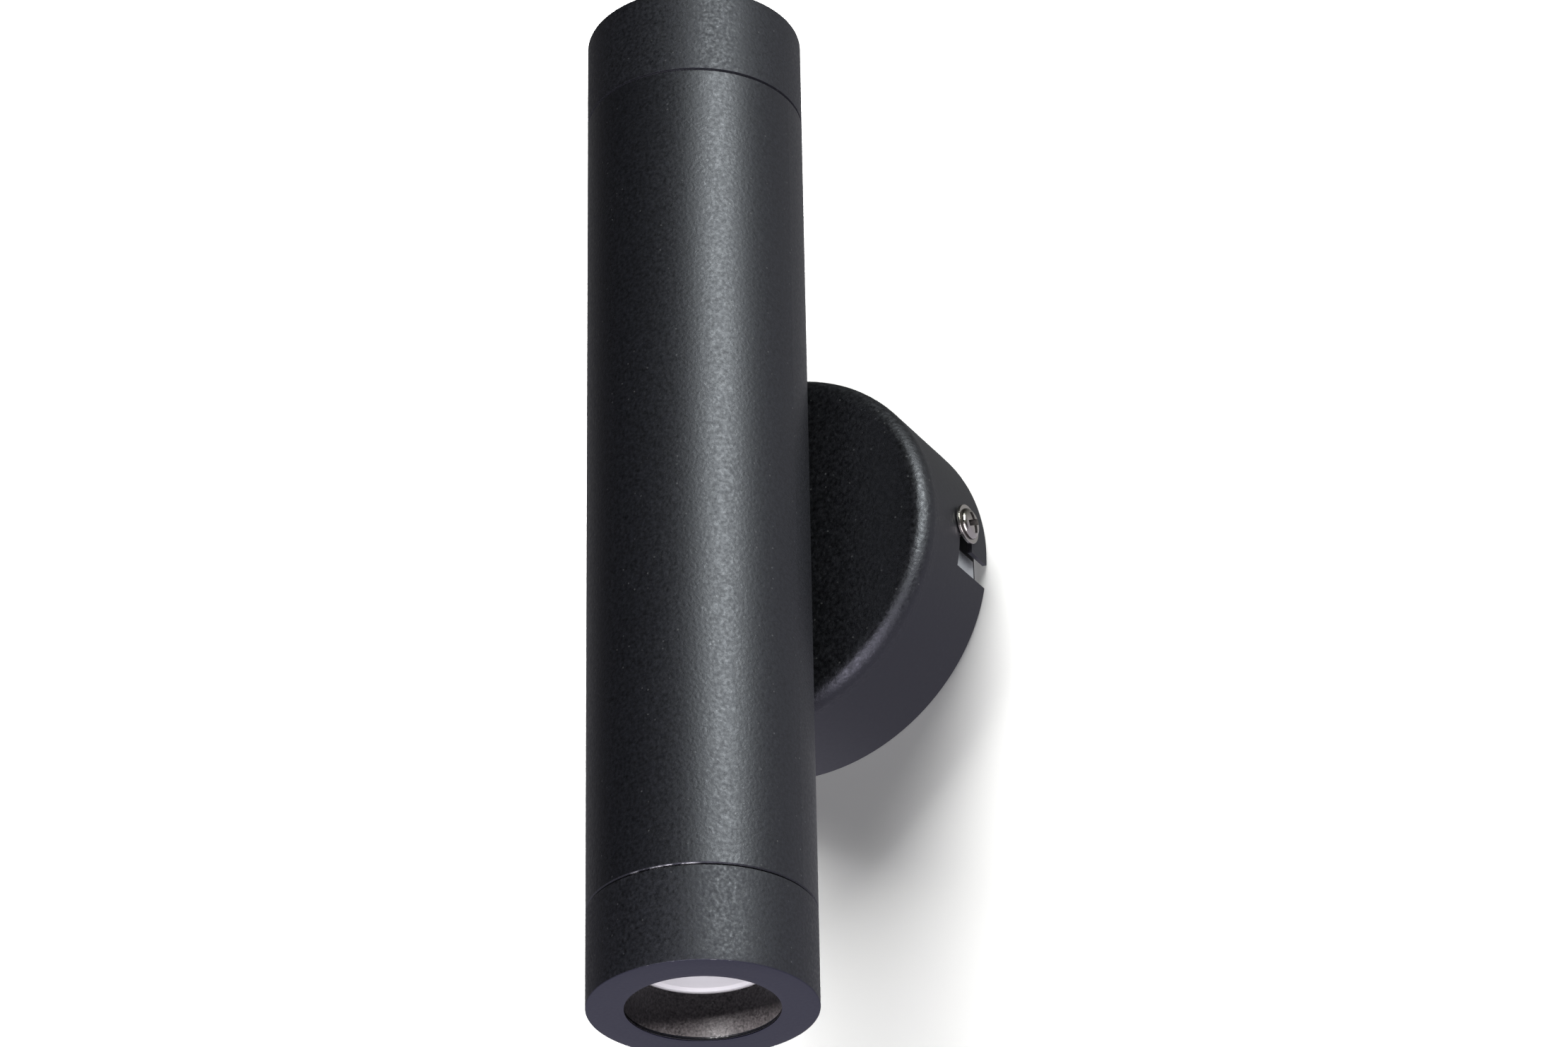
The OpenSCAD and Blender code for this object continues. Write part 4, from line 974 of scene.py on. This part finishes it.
def wire_tree():
    tree, given, out = geometry_tree("insulation", [
        ("Diameter", "Float", 0.002), ("Sides", "Int", 16), ("Material", "Material", None)])
    values = given.outputs
    line = add(tree, "GeometryNodeMeshToCurve", {0: values["Geometry"]}).outputs[0]
    profile = add(tree, "GeometryNodeCurvePrimitiveCircle", {
        "Resolution": values["Sides"], "Radius": times(tree, values["Diameter"], 0.5)}).outputs[0]
    around = add(tree, "GeometryNodeSplineParameter").outputs["Factor"]
    marked = add(tree, "GeometryNodeStoreNamedAttribute", {
        "Geometry": profile, "Name": "round", "Value": around}, data_type="FLOAT", domain="POINT")
    swept = add(tree, "GeometryNodeCurveToMesh", {"Curve": line, "Profile Curve": marked.outputs[0],
                                                  "Fill Caps": True})
    smooth = add(tree, "GeometryNodeSetShadeSmooth", {"Geometry": swept.outputs[0]})
    close_tree(tree, given, out, smooth.outputs[0])
    return tree


def softened(route, step=1.2 * MM, rounds=5):
    """Even points along a route in millimetres, with its corners eased."""
    corners = [Vector(point) * MM for point in route]
    points = [corners[0]]
    for a, b in zip(corners, corners[1:]):
        count = max(1, round((b - a).length / step))
        points += [a.lerp(b, k / count) for k in range(1, count + 1)]
    for _ in range(rounds):
        inner = [(a + 2 * b + c) / 4 for a, b, c in zip(points, points[1:], points[2:])]
        points = [points[0]] + inner + [points[-1]]
    return points


def wire_piece(name, routes, node, slot_name):
    points, edges = [], []
    for route in routes:
        line = softened(route)
        edges += [(len(points) + k, len(points) + k + 1) for k in range(len(line) - 1)]
        points += line
    data = bpy.data.meshes.new(name)
    data.from_pydata(points, edges, [])
    obj = run_tree(place(name, data), insulation, {
        "Diameter": WIRE_D, "Sides": WIRE_SIDES, "Material": MATERIALS[slot_name]})
    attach(obj, "fixture")
    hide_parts(node)
    print(name, len(obj.data.polygons), "faces")


insulation = wire_tree()
print(insulation.name, "tree of", len(insulation.nodes), "nodes")

# %% Wires
tube_run = [(5, -60, -66), (5, -60, -60), (4.8, -58, -52), (4.2, -54, -38.28), (3, -50.01, -23.76),
            (2, -47.61, -11.88), (1.5, -46.21, -6), (1.4, -45.01, -3.2), (1.4, -43.01, -1.7),
            (1.4, -41.01, -1.4), (1.4, -23.6, -1.4)]
lower_run = tube_run + [(2.4, -21.8, -3), (4.8, -20.4, -7), (7.15, -21.1, -11.5), (8.35, -23.1, -15.5),
                        (8.35, -24.1, -19), (8.35, -24.1, -23)]
upper_run = [(x, y, -z) for x, y, z in tube_run] + [
    (2.4, -21, 0.8), (4.8, -18, -1), (7.8, -17.2, -6), (9.65, -18.6, -11), (10.25, -21.8, -15),
    (10.25, -24.1, -19), (10.25, -24.1, -23)]
earth_run = [(0, -24.1, -23), (0, -24.1, -19), (0, -22.1, -15), (0, -17.5, -10), (0, -14, -3),
             (-1.5, -13.5, 4), (-5, -14, 11), (-9.5, -17, 16), (-13, -21.5, 18.5), (-14.8, -26, 17.5),
             (-13.2, -28.3, 16), (-11, -28.3, 16)]
live_runs = [lower_run, upper_run]
neutral_runs = [[(-x, y, z) for x, y, z in run] for run in live_runs]

wire_piece("live_wires_smooth", live_runs, "live_wires", "live_insulation")
wire_piece("neutral_wires_smooth", neutral_runs, "neutral_wires", "neutral_insulation")
wire_piece("earth_wire_smooth", [earth_run], "earth_wire", "earth_insulation")

# %% [markdown]
# ## Light and stage
# The wall behind the lamp is white. It is only seen by the camera and takes the lamp's soft shadow
# from a light of its own, high on the left, so that the lamp itself can be lit as in the photograph:
# one tall soft light from the right front, a weaker one from below, a small one that reaches into the
# mouth, and the white room behind and below the lamp, which the world gives.

# %% Stage
ROOM = 4
FLOOR_REACH = -5
FLOOR_Z = -1.7
WALL_Y = 0.4 * MM


def plain_sheet(name, corners, material):
    data = bpy.data.meshes.new(name)
    data.from_pydata(corners, [], [tuple(range(len(corners)))])
    obj = place(name, data)
    dress(obj, material)
    obj.visible_diffuse = False
    obj.visible_glossy = False
    obj.visible_shadow = False
    return obj


def stage_paint(name, colour, glow):
    """Matt paint that the camera sees with a little glow. Its back is clear."""
    material = bpy.data.materials.new(name)
    material.use_nodes = True
    tree = material.node_tree
    surface = tree.nodes["Principled BSDF"]
    surface.inputs["Base Color"].default_value = colour
    surface.inputs["Roughness"].default_value = 1.0
    surface.inputs["Specular IOR Level"].default_value = 0.0
    surface.inputs["Emission Color"].default_value = (1, 1, 1, 1)
    camera_ray = tree.nodes.new("ShaderNodeLightPath").outputs["Is Camera Ray"]
    tree.links.new(times(tree, camera_ray, glow), surface.inputs["Emission Strength"])
    back = tree.nodes.new("ShaderNodeNewGeometry").outputs["Backfacing"]
    clear = tree.nodes.new("ShaderNodeBsdfTransparent")
    both = add(tree, "ShaderNodeMixShader", {0: back, 1: surface.outputs[0], 2: clear.outputs[0]})
    tree.links.new(both.outputs[0], tree.nodes["Material Output"].inputs["Surface"])
    return material


wall_paint = stage_paint("wall_paint", (0.5, 0.5, 0.49, 1), 0.16)
floor_paint = stage_paint("floor_paint", (0.85, 0.85, 0.86, 1), 0.1)
wall = plain_sheet("wall", [(-ROOM, WALL_Y, FLOOR_Z), (ROOM, WALL_Y, FLOOR_Z), (ROOM, WALL_Y, ROOM),
                            (-ROOM, WALL_Y, ROOM)], wall_paint)
floor = plain_sheet("floor", [(-ROOM, FLOOR_REACH, FLOOR_Z), (ROOM, FLOOR_REACH, FLOOR_Z),
                              (ROOM, 0, FLOOR_Z), (-ROOM, 0, FLOOR_Z)], floor_paint)
print("stage:", wall.name, "and", floor.name)

# %% Lights
def direction(azimuth, elevation):
    """Unit vector towards a light; azimuth 0 is straight in front of the wall, 90 the lamp's right."""
    a, e = math.radians(azimuth), math.radians(elevation)
    return Vector((math.sin(a) * math.cos(e), -math.cos(a) * math.cos(e), math.sin(e)))


def soft_light(name, azimuth, elevation, distance, size, power, colour, lit=None, unlit=None):
    """A rectangular light aimed at the lamp. lit or unlit limits it to some of the objects."""
    data = bpy.data.lights.new(name, "AREA")
    data.shape = "RECTANGLE"
    data.size, data.size_y = size
    data.energy = power
    data.color = colour
    obj = place(name, data)
    towards = direction(azimuth, elevation)
    obj.location = Vector((0, AXIS_Y, 0)) + towards * distance
    obj.rotation_euler = towards.to_track_quat("Z", "Y").to_euler()
    group = bpy.data.collections.new(name + "_targets")
    obj.light_linking.receiver_collection = group
    for item in lit or unlit:
        group.objects.link(item)
    for entry in group.collection_objects:
        entry.light_linking.link_state = "INCLUDE" if lit else "EXCLUDE"
    print(name, "light", [round(c, 2) for c in obj.location])


stage_sheets = [wall, floor]
insert = [frame["nodes"]["lower_insert"]]
soft_light("key", 54, 28.5, 1.6, (0.5, 0.7), 37, (0.97, 1.03, 0.92), unlit=stage_sheets)
soft_light("low_front", 24, -43, 1.3, (1.0, 1.0), 19, (1.03, 0.99, 1.04), unlit=stage_sheets + insert)
soft_light("mouth_light", 8, -9.5, 1.2, (0.3, 0.3), 115, (1.0, 0.96, 0.97), lit=insert)
soft_light("wall_light", -55, 75, 2.6, (4.5, 4.5), 1780, (1, 1, 1), lit=stage_sheets)

# %% World
ROOM_LEVEL = 0.6
DARK_LEVEL = 0.01


def raised(tree, level, *factors):
    """Raises the level by a share of itself: the product of the factors."""
    return times(tree, level, plus(tree, 1.0, times(tree, *factors)))


world = bpy.data.worlds.new("studio")
bpy.context.scene.world = world
world.use_nodes = True
tree = world.node_tree
tree.nodes.clear()
heading = tree.nodes.new("ShaderNodeTexCoord").outputs["Generated"]
x, y, z = add(tree, "ShaderNodeSeparateXYZ", {0: heading}).outputs
behind = ramp(tree, y, -0.02, 0.12)
below = ramp(tree, z, -0.2, -0.75)
low = ramp(tree, z, 1.0, 0.0)
left, right_side = ramp(tree, x, 0.05, -0.35), ramp(tree, x, -0.35, 0.1)
under, above = ramp(tree, z, -0.2, -0.5), ramp(tree, z, 0.1, 0.4)
room = math_node(tree, "MAXIMUM", behind, below)
level = times(tree, room, math_node(tree, "POWER", low, 1.1), ROOM_LEVEL)
level = raised(tree, level, left, under, 0.4)
level = raised(tree, level, right_side, above, 0.65)
tint = mix_colour(tree, low, (1.02, 1.05, 0.95, 1), (1.0, 0.97, 1.1, 1))
lit_room = add(tree, "ShaderNodeBackground", {"Color": tint, "Strength": plus(tree, level, DARK_LEVEL)})
seen = add(tree, "ShaderNodeBackground", {"Color": (1, 1, 1, 1), "Strength": 1.0})
by_camera = tree.nodes.new("ShaderNodeLightPath").outputs["Is Camera Ray"]
both = add(tree, "ShaderNodeMixShader", {0: by_camera, 1: lit_room.outputs[0], 2: seen.outputs[0]})
add(tree, "ShaderNodeOutputWorld", {"Surface": both.outputs[0]})

bpy.context.scene.view_settings.view_transform = "Standard"
print(world.name, "world of", len(tree.nodes), "nodes")
